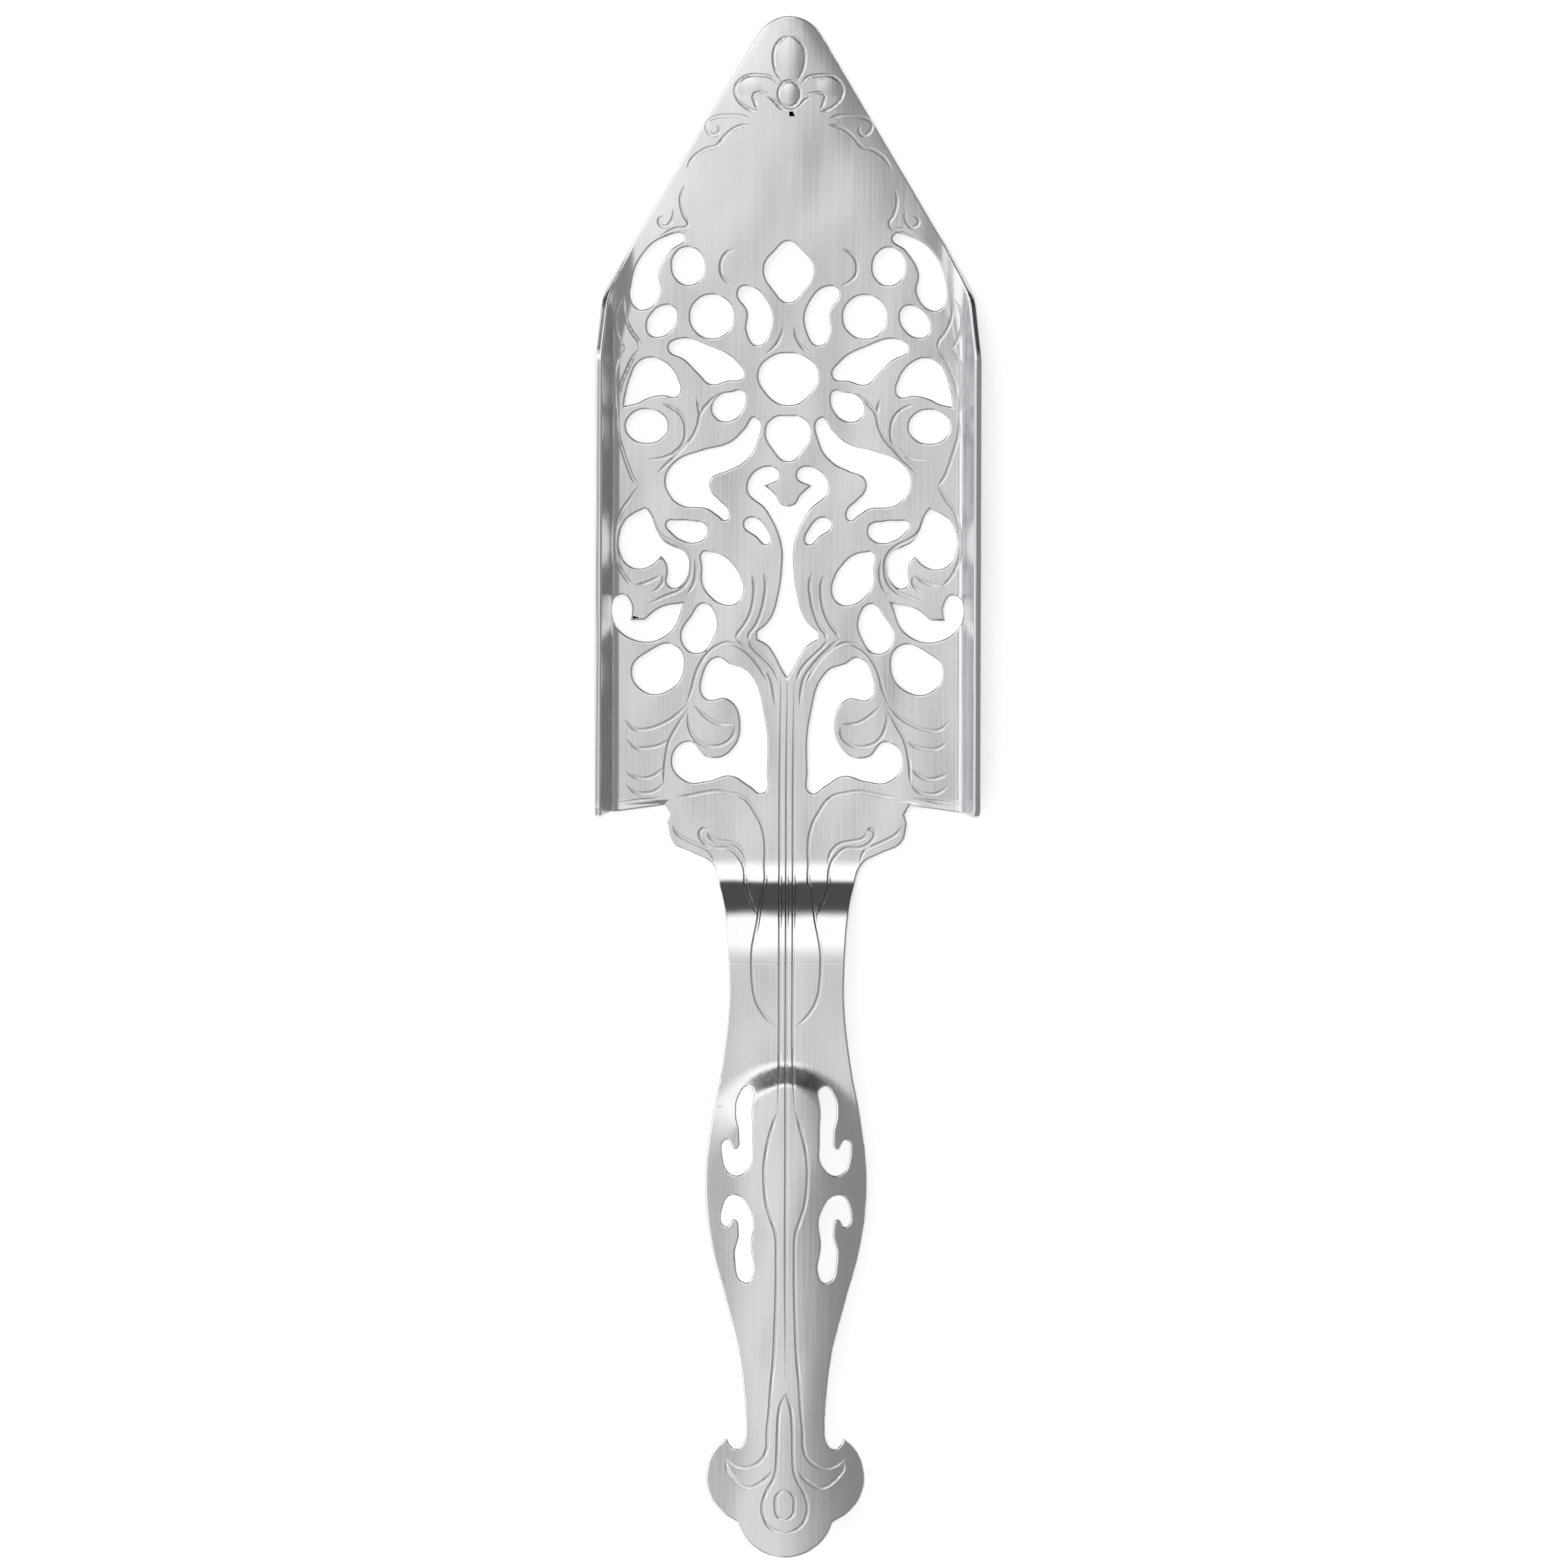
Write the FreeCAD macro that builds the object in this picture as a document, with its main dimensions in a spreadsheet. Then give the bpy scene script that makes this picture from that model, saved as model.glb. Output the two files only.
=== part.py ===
import FreeCAD, Part
import Sketcher
import math
import os

# An absinthe spoon: one piece of stamped steel sheet, with no joints.
# The blade is a flat tray with two side walls folded up, a pierced scroll pattern and a pointed tip.
# A short neck steps up from the blade to a crowned handle that ends in a small lobed finial.
# The frame: +Y points to the tip, +X across, +Z up. The blade's underside lies on z = 0 and y = 0 is
# the middle of the whole length. The two halves mirror each other, so each outline is drawn for +X.

Vector = FreeCAD.Vector

doc = FreeCAD.newDocument("absinthe_spoon")

# Driving sizes, in millimetres and degrees
SIZES = [
    ("sheet_thickness", 0.9),
    ("blade_length", 84.65),
    ("neck_length", 16.85),
    ("handle_length", 63.5),
    ("tip_radius", 4.0),
    ("blade_floor_width", 34.6),
    ("flange_height", 4.3),
    ("flange_angle", 75.0),
    ("flange_bend_radius", 1.9),
    ("flange_corner_radius", 1.0),
    ("flange_corner_lean", 33.0),
    ("foot_slope", 8.0),
    ("foot_corner_step", 0.3),
    ("shoulder_width", 25.7),
    ("neck_width", 12.5),
    ("neck_rise", 4.3),
    ("neck_bend_angle", 35.0),
    ("neck_foot_radius", 3.9),
    ("neck_top_radius", 8.7),
    ("neck_bend_start", 6.0),
    ("belly_width", 17.4),
    ("waist_width", 8.46),
    ("finial_width", 16.9),
    ("finial_notch_width", 10.3),
    ("crown_height", 1.3),
    ("crown_width", 18.6),
    ("crown_start", 9.3),
    ("crown_blend", 6.2),
]


def fill_sheet(sizes):
    """Writes each size beside its name and gives its cell that name."""
    table = doc.addObject("Spreadsheet::Sheet", "Sizes")
    for row, (name, value) in enumerate(sizes, start=1):
        table.set(f"A{row}", name)
        table.set(f"B{row}", str(value))
        table.setAlias(f"B{row}", name)
    doc.recompute()
    return table


sizes = fill_sheet(SIZES)

# The pointed tip's share of the blade's length, and where along the handle its belly and its waist lie
TIP_SHARE = 0.2984
BELLY_SHARE = 0.37
WAIST_SHARE = 0.772

# Stations along the spoon, worked out from its three lengths
total_length = sizes.blade_length + sizes.neck_length + sizes.handle_length
tip_y = total_length / 2
foot_y = tip_y - sizes.blade_length
crease_y = foot_y - sizes.neck_length
end_y = -total_length / 2
belly_y = crease_y - sizes.handle_length * BELLY_SHARE
waist_y = crease_y - sizes.handle_length * WAIST_SHARE
floor_half = sizes.blade_floor_width / 2
handle_floor = sizes.neck_rise
rim_height = sizes.sheet_thickness + sizes.flange_height
margin = 2.0

# Two headings this close are the same, an arc that bulges less than this is drawn as a line, and one arc may
# miss a heading by this much before it becomes two
SAME_HEADING = 1e-4
STRAIGHT_BULGE = 0.16
ONE_ARC_MISS = math.radians(40)

# The spoon that the pierced patterns were drawn on: their points below are millimetres on it, across from
# the middle line and along from half its length, and they stretch when a size in the sheet changes.
DRAWN_BLADE = {"floor_width": 34.6, "length": 84.65, "foot": -2.15}
DRAWN_HANDLE = {"belly_width": 17.4, "length": 63.5, "crease": -19.0}


def on_blade(point):
    """Puts a drawn point of the blade's pattern on the blade as it is sized now."""
    x, y = point
    across = sizes.blade_floor_width / DRAWN_BLADE["floor_width"]
    along = sizes.blade_length / DRAWN_BLADE["length"]
    return x * across, foot_y + (y - DRAWN_BLADE["foot"]) * along


def on_handle(point):
    """Puts a drawn point of the handle's pattern on the handle as it is sized now."""
    x, y = point
    across = sizes.belly_width / DRAWN_HANDLE["belly_width"]
    along = sizes.handle_length / DRAWN_HANDLE["length"]
    return x * across, crease_y + (y - DRAWN_HANDLE["crease"]) * along


def between(start, end, shares):
    """Points between two corners: each share is how far along, and how far across, the way has gone."""
    return [(start[0] + (end[0] - start[0]) * across, start[1] + (end[1] - start[1]) * along)
            for along, across in shares]


# The pierced pattern of the blade, drawn for +X
# A loop is one smooth closed curve; a list of runs is a closed outline with a corner between its runs.
BLADE_LOOPS = {
    "crescent": [(11.2, 58.8), (13.3, 58.7), (15.5, 57.0), (16.7, 54.0), (16.5, 51.4),
                 (15.4, 51.0), (13.8, 52.8), (14.0, 54.9), (12.6, 57.4)],
    "bean": [(4.7, 53.5), (5.4, 52.8), (4.35, 50.8), (4.4, 48.6), (3.3, 47.2), (2.05, 48.6), (2.1, 51.4)],
    "horn": [(11.9, 47.75), (12.8, 46.9), (11.0, 45.6), (9.5, 44.1), (8.3, 43.0), (6.5, 43.3),
             (4.85, 43.7), (5.6, 45.4), (8.2, 47.2)],
    "almond": [(4.8, 42.45), (6.7, 42.3), (8.05, 40.7), (7.0, 39.1), (5.3, 40.4)],
    "wing": [(3.5, 39.4), (4.6, 38.2), (6.8, 36.4), (10.0, 35.7), (12.5, 34.3), (13.15, 32.3), (11.9, 30.4),
             (8.2, 29.8), (6.9, 28.65), (6.6, 30.0), (8.3, 31.4), (8.3, 33.1), (5.0, 34.5), (3.3, 36.8)],
    "half_moon": [(8.8, 28.0), (10.8, 28.45), (12.95, 28.2), (11.9, 26.8), (9.9, 26.35)],
    "small_leaf": [(2.1, 25.95), (2.4, 27.6), (3.9, 28.7), (4.65, 28.0), (3.4, 26.8)],
    "pad": [(8.9, 25.0), (9.1, 23.0), (8.8, 20.8), (6.2, 19.5), (4.9, 20.9), (5.7, 23.7)],
    "drop": [(9.0, 19.45), (7.75, 18.1), (8.0, 15.9), (9.7, 14.2), (11.3, 15.7), (10.2, 18.2)],
    "shield": [(12.0, 15.15), (15.0, 14.2), (16.6, 12.4), (15.3, 10.1), (13.0, 10.1), (11.2, 12.4)],
    "scroll": [(7.6, 13.65), (9.0, 11.8), (8.8, 9.4), (6.3, 9.3), (5.0, 7.0), (6.2, 3.5), (8.6, 3.0),
               (10.6, 4.65), (12.3, 2.7), (10.8, 0.5), (8.6, 0.5), (6.0, 1.1), (4.0, 0.0), (2.6, -0.75),
               (2.25, 1.6), (2.55, 7.6), (4.3, 12.2), (6.2, 13.0)],
}
BLADE_RUNS = {
    "fan": [[(14.9, 45.95), (16.6, 44.8), (17.75, 40.6)],
            [(17.75, 40.6), (15.0, 41.4), (11.9, 41.6)],
            [(11.9, 41.6), (12.3, 44.4), (14.9, 45.95)]],
    "swirl": [[(15.2, 29.5), (17.2, 28.6), (18.05, 25.8), (16.4, 23.6), (13.7, 24.65)],
              [(13.7, 24.65), (13.0, 23.2), (12.9, 21.5), (11.3, 21.6), (10.8, 23.7), (13.4, 26.0), (15.2, 29.5)]],
    "smile": [[(11.2, 19.5), (13.6, 19.0), (15.3, 17.7)],
              [(15.3, 17.7), (16.85, 17.65)],
              [(16.85, 17.65), (16.8, 19.4), (17.8, 20.4), (18.65, 18.2), (16.3, 15.6), (12.8, 16.3), (11.2, 19.5)]],
}

# Ovals: centre across and along, half length, half width, turn in degrees
BLADE_OVALS = {
    "round_eye": (8.2, 50.15, 2.4, 2.4, 0.0),
    "top_eye": (10.75, 55.65, 2.0, 1.72, 85.0),
    "tilted_eye": (13.55, 49.75, 1.9, 1.33, -50.0),
    "side_eye": (15.15, 38.5, 2.2, 1.78, 0.0),
}

# Openings on the middle line: the points of their +X half, from top to bottom
CENTRE_LOOPS = {
    "upper_diamond": [(0.0, 58.3), (1.4, 57.3), (2.6, 55.4), (1.5, 53.0), (0.0, 51.8)],
    "middle_eye": [(0.0, 46.3), (1.6, 46.0), (3.1, 44.4), (2.5, 42.3), (0.0, 40.8)],
    "lower_eye": [(0.0, 39.55), (1.5, 39.35), (2.35, 38.0), (1.6, 36.1), (0.0, 34.8)],
}
KEYHOLE_RUNS = [
    [(0.0, 29.85), (0.75, 30.1), (1.4, 31.1), (2.6, 32.15)],
    [(2.6, 32.15), (1.0, 33.2), (1.9, 34.15), (4.3, 32.0), (2.2, 29.5), (0.65, 26.0), (0.65, 22.0), (1.7, 18.1),
     (3.3, 16.6)],
    [(3.3, 16.6), (1.7, 15.0), (0.0, 11.9)],
]

# The two curved slots on each side of the handle
HANDLE_LOOPS = {
    "upper_slot": [(4.0, -31.8), (5.0, -32.8), (5.35, -34.8), (5.0, -37.0), (5.4, -38.7), (6.4, -37.7), (6.8, -39.3),
                   (5.6, -41.35), (3.9, -40.3), (3.65, -37.8), (3.75, -34.8)],
    "lower_slot": [(5.7, -43.5), (6.75, -44.8), (6.4, -46.8), (5.5, -46.0), (5.0, -47.3), (5.4, -50.0), (4.3, -52.9),
                   (3.6, -52.2), (3.8, -49.0), (3.7, -45.6)],
}

# The +X edge as shares of the way between two of its corners: (share of the length, share of the change in
# width). From the shoulder at the blade's foot to the neck's end, from there to the belly, and on to the waist
SHOULDER_STEP = [(0.056, 0.038), (0.11, -0.008)]
SHOULDER_TO_NECK = [(0.234, 0.083), (0.306, 0.432), (0.371, 0.72), (0.525, 0.856), (0.739, 0.955)]
NECK_TO_BELLY = [(0.17, -0.02), (0.455, 0.265), (0.73, 0.755)]
BELLY_TO_WAIST = [(0.255, 0.145), (0.5, 0.515), (0.725, 0.84)]

# The finial's +X edge: across as a share of its half width, along as a share of its length from the spoon's end
FINIAL_HOOK = [(0.533, 0.848), (0.615, 0.803), (0.69, 0.828), (0.74, 0.883)]
FINIAL_LOBE = [(0.74, 0.883), (0.9, 0.793), (0.995, 0.655), (0.97, 0.469), (0.8, 0.331)]
FINIAL_NOTCH = 0.262


# Drawing helpers
def plane_of(body, role):
    """Finds one of the body's own origin planes."""
    return [feature for feature in body.Origin.OriginFeatures if feature.Role == role][0]


def new_sketch(body, name, role, lift=0.0):
    """Makes a sketch on an origin plane, moved along that plane's normal by lift."""
    sketch = body.newObject("Sketcher::SketchObject", name)
    sketch.AttachmentSupport = [(plane_of(body, role), "")]
    sketch.MapMode = "FlatFace"
    sketch.AttachmentOffset = FreeCAD.Placement(Vector(0, 0, lift), FreeCAD.Rotation())
    return sketch


def flat(points):
    return [Vector(x, y, 0) for x, y in points]


def arc_from(start, heading, end):
    """The arc that leaves start along heading and reaches end, or a line where it is straight."""
    chord = end - start
    turn = math.atan2(chord.x * heading.y - chord.y * heading.x, chord.dot(heading))
    bulge = Vector(-chord.y, chord.x, 0) * (math.tan(turn / 2) / 2)
    if bulge.Length < STRAIGHT_BULGE:
        return Part.LineSegment(start, end)
    return Part.Arc(start, (start + end) / 2 + bulge, end)


def turned(heading, angle):
    """The heading turned to the left by an angle in radians."""
    across = Vector(-heading.y, heading.x, 0)
    return heading * math.cos(angle) + across * math.sin(angle)


def two_arcs(start, start_heading, end, end_heading):
    """The arcs between two points that have their own headings: one where it fits, or two that join smoothly."""
    chord = end - start
    along_chord = chord / chord.Length
    one_arc_end = along_chord * (2 * along_chord.dot(start_heading)) - start_heading
    miss = math.atan2(one_arc_end.x * end_heading.y - one_arc_end.y * end_heading.x, one_arc_end.dot(end_heading))
    if abs(miss) < ONE_ARC_MISS:
        return [arc_from(start, turned(start_heading, -miss / 2), end)]
    both = start_heading + end_heading
    spread = 2 * (1 - start_heading.dot(end_heading))
    along = chord.dot(both)
    square = chord.dot(chord)
    if spread < SAME_HEADING:
        reach = square / (2 * along)
    else:
        reach = (-along + math.sqrt(along * along + spread * square)) / spread
    middle = (start + end + (start_heading - end_heading) * reach) / 2
    return [arc_from(start, start_heading, middle), arc_from(end, -end_heading, middle)]


def headings(corners, closed):
    """The direction of a smooth curve at each of its points, from the circle through its neighbours."""
    count = len(corners)
    found = []
    for index in range(count):
        back = corners[index] - corners[index - 1]
        ahead = corners[(index + 1) % count] - corners[index]
        heading = back / back.Length ** 2 + ahead / ahead.Length ** 2
        found.append(heading.normalize())
    if not closed:
        for at, beside in ((0, 1), (count - 1, count - 2)):
            chord = (corners[beside] - corners[at]).normalize()
            found[at] = chord * (2 * chord.dot(found[beside])) - found[beside]
    return found


def smooth_curve(points, closed=False):
    """Tangent arcs through the points."""
    corners = flat(points)
    directions = headings(corners, closed)
    spans = len(corners) if closed else len(corners) - 1
    curves = []
    for index in range(spans):
        following = (index + 1) % len(corners)
        curves += two_arcs(corners[index], directions[index], corners[following], directions[following])
    return curves


def run_curves(points):
    """Two points give a line, three an arc, and more a smooth curve of tangent arcs."""
    corners = flat(points)
    if len(corners) == 2:
        return [Part.LineSegment(corners[0], corners[1])]
    if len(corners) == 3:
        return [Part.Arc(corners[0], corners[1], corners[2])]
    return smooth_curve(points)


def oval(centre_x, centre_y, half_length, half_width, turn):
    """The four ends of an oval's two axes, as the points of a loop."""
    angle = math.radians(turn)
    long_x = half_length * math.cos(angle)
    long_y = half_length * math.sin(angle)
    short_x = -half_width * math.sin(angle)
    short_y = half_width * math.cos(angle)
    return [(centre_x + long_x, centre_y + long_y), (centre_x + short_x, centre_y + short_y),
            (centre_x - long_x, centre_y - long_y), (centre_x - short_x, centre_y - short_y)]


def mirrored(points):
    """The same points on the -X side, in the opposite order."""
    return [(-x, y) for x, y in reversed(points)]


def check(feature):
    """Stops the build where a feature failed."""
    doc.recompute()
    if "Invalid" in feature.State or "Error" in feature.State:
        raise RuntimeError(feature.Name + " failed: " + str(feature.State))
    return feature


def pad(body, sketch, name, length_cell, symmetric=False, reverse=False):
    feature = body.newObject("PartDesign::Pad", name)
    feature.Profile = sketch
    feature.Midplane = symmetric
    feature.Reversed = reverse
    feature.setExpression("Length", length_cell)
    return check(feature)


def cut_through(body, sketch, name):
    """Cuts the sketch's area right through the sheet, both ways."""
    feature = body.newObject("PartDesign::Pocket", name)
    feature.Profile = sketch
    feature.Type = 1
    feature.Midplane = True
    before = body.Shape.Volume
    check(feature)
    print(name, "takes", round(before - feature.Shape.Volume, 1), "mm3")
    return feature


def mirror_across(body, feature, name):
    """Repeats a feature on the -X side."""
    pattern = body.newObject("PartDesign::Mirrored", name)
    pattern.Originals = [feature]
    pattern.MirrorPlane = (plane_of(body, "YZ_Plane"), [""])
    body.Tip = pattern
    return check(pattern)


# The sheet's section across the tray: half the floor, the bend and the wall, tied to the sheet
def draw_tray_section(body):
    radius = sizes.flange_bend_radius
    sheet = sizes.sheet_thickness
    bend = math.radians(sizes.flange_angle)
    centre = Vector(floor_half, radius + sheet, 0)
    inward = Vector(math.sin(bend), -math.cos(bend), 0)
    up_wall = Vector(math.cos(bend), math.sin(bend), 0)
    inner_top_of_bend = centre + inward * radius
    wall = (rim_height - inner_top_of_bend.y) / math.sin(bend)
    inner_rim = inner_top_of_bend + up_wall * wall
    outer_rim = inner_rim + inward * sheet
    axis = Vector(0, 0, 1)
    start_angle = -math.pi / 2
    end_angle = start_angle + bend

    behind_foot = 0.8
    section_y = foot_y - sizes.neck_bend_start * behind_foot
    sketch = new_sketch(body, "TraySection", "XZ_Plane", -section_y)
    sketch.addGeometry([
        Part.LineSegment(Vector(0, 0, 0), Vector(floor_half, 0, 0)),
        Part.ArcOfCircle(Part.Circle(centre, axis, radius + sheet), start_angle, end_angle),
        Part.LineSegment(centre + inward * (radius + sheet), outer_rim),
        Part.LineSegment(outer_rim, inner_rim),
        Part.LineSegment(inner_rim, inner_top_of_bend),
        Part.ArcOfCircle(Part.Circle(centre, axis, radius), start_angle, end_angle),
        Part.LineSegment(Vector(floor_half, sheet, 0), Vector(0, sheet, 0)),
        Part.LineSegment(Vector(0, sheet, 0), Vector(0, 0, 0)),
    ], False)
    under, outer_bend, outer_wall, rim, inner_wall, inner_bend, top, middle = range(8)
    start, end, mid = 1, 2, 3
    sketch.addConstraint([
        Sketcher.Constraint("Coincident", under, start, -1, start),
        Sketcher.Constraint("Horizontal", under),
        Sketcher.Constraint("Tangent", under, end, outer_bend, start),
        Sketcher.Constraint("Tangent", outer_bend, end, outer_wall, start),
        Sketcher.Constraint("Coincident", outer_wall, end, rim, start),
        Sketcher.Constraint("Perpendicular", outer_wall, rim),
        Sketcher.Constraint("Coincident", rim, end, inner_wall, start),
        Sketcher.Constraint("Tangent", inner_wall, end, inner_bend, end),
        Sketcher.Constraint("Tangent", inner_bend, start, top, start),
        Sketcher.Constraint("Coincident", inner_bend, mid, outer_bend, mid),
        Sketcher.Constraint("Coincident", top, end, middle, start),
        Sketcher.Constraint("Coincident", middle, end, under, start),
        Sketcher.Constraint("Vertical", middle),
    ])
    driven = [
        ("floor", Sketcher.Constraint("DistanceX", under, start, under, end, floor_half),
         "Sizes.blade_floor_width / 2"),
        ("sheet", Sketcher.Constraint("DistanceY", middle, end, middle, start, sheet), "Sizes.sheet_thickness"),
        ("bend", Sketcher.Constraint("Radius", inner_bend, radius), "Sizes.flange_bend_radius"),
        ("lean", Sketcher.Constraint("Angle", outer_wall, bend), "Sizes.flange_angle"),
        ("height", Sketcher.Constraint("DistanceY", -1, start, inner_wall, start, rim_height),
         "Sizes.sheet_thickness + Sizes.flange_height"),
    ]
    for name, constraint, cell in driven:
        index = sketch.addConstraint(constraint)
        sketch.renameConstraint(index, name)
        sketch.setExpression("Constraints." + name, cell)
    return check(sketch)


# The sheet's side view: flat blade, stepped neck and level handle
def draw_side_profile(body):
    sheet = sizes.sheet_thickness
    bend = math.radians(sizes.neck_bend_angle)
    foot_radius = sizes.neck_foot_radius
    top_radius = sizes.neck_top_radius
    start_y = foot_y - sizes.neck_bend_start
    straight_rise = sizes.neck_rise - (foot_radius + top_radius) * (1 - math.cos(bend))
    straight = straight_rise / math.sin(bend)
    half = bend / 2

    def side(lower):
        """The points of the underside, or of the top face, from the blade to the handle."""
        foot = foot_radius + sheet if lower else foot_radius
        top = top_radius if lower else top_radius + sheet
        level = 0.0 if lower else sheet
        foot_centre = Vector(start_y, sheet + foot_radius, 0)
        foot_end = foot_centre + Vector(-math.sin(bend), -math.cos(bend), 0) * foot
        rise_end = foot_end + Vector(-math.cos(bend), math.sin(bend), 0) * straight
        top_centre = rise_end + Vector(-math.sin(bend), -math.cos(bend), 0) * top
        return {
            "start": Vector(start_y, level, 0),
            "foot_mid": foot_centre + Vector(-math.sin(half), -math.cos(half), 0) * foot,
            "foot_end": foot_end,
            "rise_end": rise_end,
            "top_mid": top_centre + Vector(math.sin(half), math.cos(half), 0) * top,
            "top_end": top_centre + Vector(0, top, 0),
        }

    crown_y = crease_y - sizes.crown_start
    sketch = new_sketch(body, "SideProfile", "YZ_Plane")
    ends = []
    for lower in (True, False):
        point = side(lower)
        level = 0.0 if lower else sheet
        tip = Vector(tip_y + margin, level, 0)
        handle = Vector(crown_y, handle_floor + level, 0)
        sketch.addGeometry([
            Part.LineSegment(tip, point["start"]),
            Part.Arc(point["start"], point["foot_mid"], point["foot_end"]),
            Part.LineSegment(point["foot_end"], point["rise_end"]),
            Part.Arc(point["rise_end"], point["top_mid"], point["top_end"]),
            Part.LineSegment(point["top_end"], handle),
        ], False)
        ends.append((tip, handle))
    (low_tip, low_handle), (high_tip, high_handle) = ends
    sketch.addGeometry(Part.LineSegment(low_tip, high_tip), False)
    sketch.addGeometry(Part.LineSegment(low_handle, high_handle), False)
    return check(sketch)


# The handle's crowned section, from flat where it starts to full height along the handle
def draw_crown_section(body, name, y, share):
    half = sizes.crown_width / 2
    rise = sizes.crown_height * share
    low = handle_floor
    high = handle_floor + sizes.sheet_thickness
    sketch = new_sketch(body, name, "XZ_Plane", -y)
    for level in (low, high):
        edge_left = Vector(-half, level, 0)
        edge_right = Vector(half, level, 0)
        top = Vector(0, level + rise, 0)
        sketch.addGeometry(Part.Arc(edge_left, top, edge_right), False)
    for side in (-half, half):
        sketch.addGeometry(Part.LineSegment(Vector(side, low, 0), Vector(side, high, 0)), False)
    return check(sketch)


def add_crown(body):
    """Lofts the handle through sections whose crown grows smoothly, then runs on to the end."""
    start_y = crease_y - sizes.crown_start
    section_count = 5
    first_share = 0.01
    sections = []
    for step in range(section_count):
        part_way = step / (section_count - 1)
        share = max(0.5 - 0.5 * math.cos(math.pi * part_way), first_share)
        y = start_y - sizes.crown_blend * part_way
        sections.append(draw_crown_section(body, f"CrownSection{step}", y, share))
    blend = body.newObject("PartDesign::AdditiveLoft", "CrownBlend")
    blend.Profile = sections[0]
    blend.Sections = sections[1:]
    check(blend)
    last = draw_crown_section(body, "HandleSection", start_y - sizes.crown_blend, 1.0)
    return pad(body, last, "CrownedHandle", "Sizes.handle_length - Sizes.crown_start - Sizes.crown_blend + 1")


# The outline seen from above
def tip_half_angle():
    """The lean of the tip's straight sides, which touch its round end and leave the floor's edge behind it."""
    behind_centre = sizes.blade_length * TIP_SHARE - sizes.tip_radius
    reach = math.hypot(floor_half, behind_centre)
    return math.atan2(floor_half, behind_centre) - math.asin(sizes.tip_radius / reach)


def tip_curves():
    """Where the +X straight side leaves the tip's round end, and where it meets the rim's line."""
    angle = tip_half_angle()
    radius = sizes.tip_radius
    centre_y = tip_y - radius
    tangent = (radius * math.cos(angle), centre_y + radius * math.sin(angle))
    outside_x = floor_half + sizes.flange_height + sizes.sheet_thickness + margin
    corner = (outside_x, tangent[1] - (outside_x - tangent[0]) / math.tan(angle))
    return tangent, corner


def outline_runs():
    """The +X half of the outline, from the tip's tangent point to the last corner before the end."""
    tangent, rim_corner = tip_curves()
    foot = (sizes.shoulder_width / 2 + sizes.foot_corner_step, foot_y)
    foot_drop = (rim_corner[0] - foot[0]) * math.tan(math.radians(sizes.foot_slope))
    rim_foot = (rim_corner[0], foot_y - foot_drop)
    shoulder = (sizes.shoulder_width / 2, foot_y)
    neck = (sizes.neck_width / 2, crease_y)
    belly = (sizes.belly_width / 2, belly_y)
    waist = (sizes.waist_width / 2, waist_y)
    step = between(shoulder, neck, SHOULDER_STEP)
    finial_half = sizes.finial_width / 2
    finial_length = waist_y - end_y
    hook = [(across * finial_half, end_y + along * finial_length) for across, along in FINIAL_HOOK]
    lobe = [(across * finial_half, end_y + along * finial_length) for across, along in FINIAL_LOBE]
    notch = (sizes.finial_notch_width / 2, end_y + FINIAL_NOTCH * finial_length)
    return [
        [tangent, rim_corner],
        [rim_corner, rim_foot],
        [rim_foot, foot],
        [foot, step[0]],
        step,
        [step[-1]] + between(shoulder, neck, SHOULDER_TO_NECK) + [neck],
        [neck] + between(neck, belly, NECK_TO_BELLY) + [belly] + between(belly, waist, BELLY_TO_WAIST) + [waist],
        [waist] + hook,
        lobe + [notch],
    ]


def trim_to_outline(body):
    """Cuts away all the sheet that lies outside the outline."""
    runs = outline_runs()
    tangent = runs[0][0]
    notch = runs[-1][-1]
    sketch = new_sketch(body, "Outline", "XY_Plane")
    for run in runs:
        sketch.addGeometry(run_curves(run), False)
        sketch.addGeometry(run_curves(mirrored(run)), False)
    sketch.addGeometry(run_curves([(-tangent[0], tangent[1]), (0, tip_y), tangent]), False)
    sketch.addGeometry(run_curves([(-notch[0], notch[1]), (0, end_y), notch]), False)
    far_x = runs[0][1][0] + 2 * margin
    far_y = tip_y + 2 * margin
    frame = [(-far_x, -far_y), (far_x, -far_y), (far_x, far_y), (-far_x, far_y), (-far_x, -far_y)]
    for first, second in zip(frame, frame[1:]):
        sketch.addGeometry(run_curves([first, second]), False)
    check(sketch)
    return cut_through(body, sketch, "OutlineCut")


def cut_flange_corner(body):
    """Leans the blank's slanted edge back as it climbs the wall, where the flat blank was folded."""
    tangent, corner = tip_curves()
    angle = tip_half_angle()
    lean = math.tan(math.radians(sizes.flange_corner_lean))
    sections = []
    for name, z in (("CornerLow", 0.0), ("CornerHigh", rim_height + margin)):
        shift = z * lean
        inner = (floor_half, tangent[1] - (floor_half - tangent[0]) / math.tan(angle) - shift)
        outer = (corner[0], corner[1] - shift)
        sketch = new_sketch(body, name, "XY_Plane", z)
        loop = [inner, outer, (outer[0], inner[1]), inner]
        for first, second in zip(loop, loop[1:]):
            sketch.addGeometry(run_curves([first, second]), False)
        sections.append(check(sketch))
    cut = body.newObject("PartDesign::SubtractiveLoft", "FlangeCornerCut")
    cut.Profile = sections[0]
    cut.Sections = sections[1:]
    check(cut)
    return mirror_across(body, cut, "FlangeCornerCuts")


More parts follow.
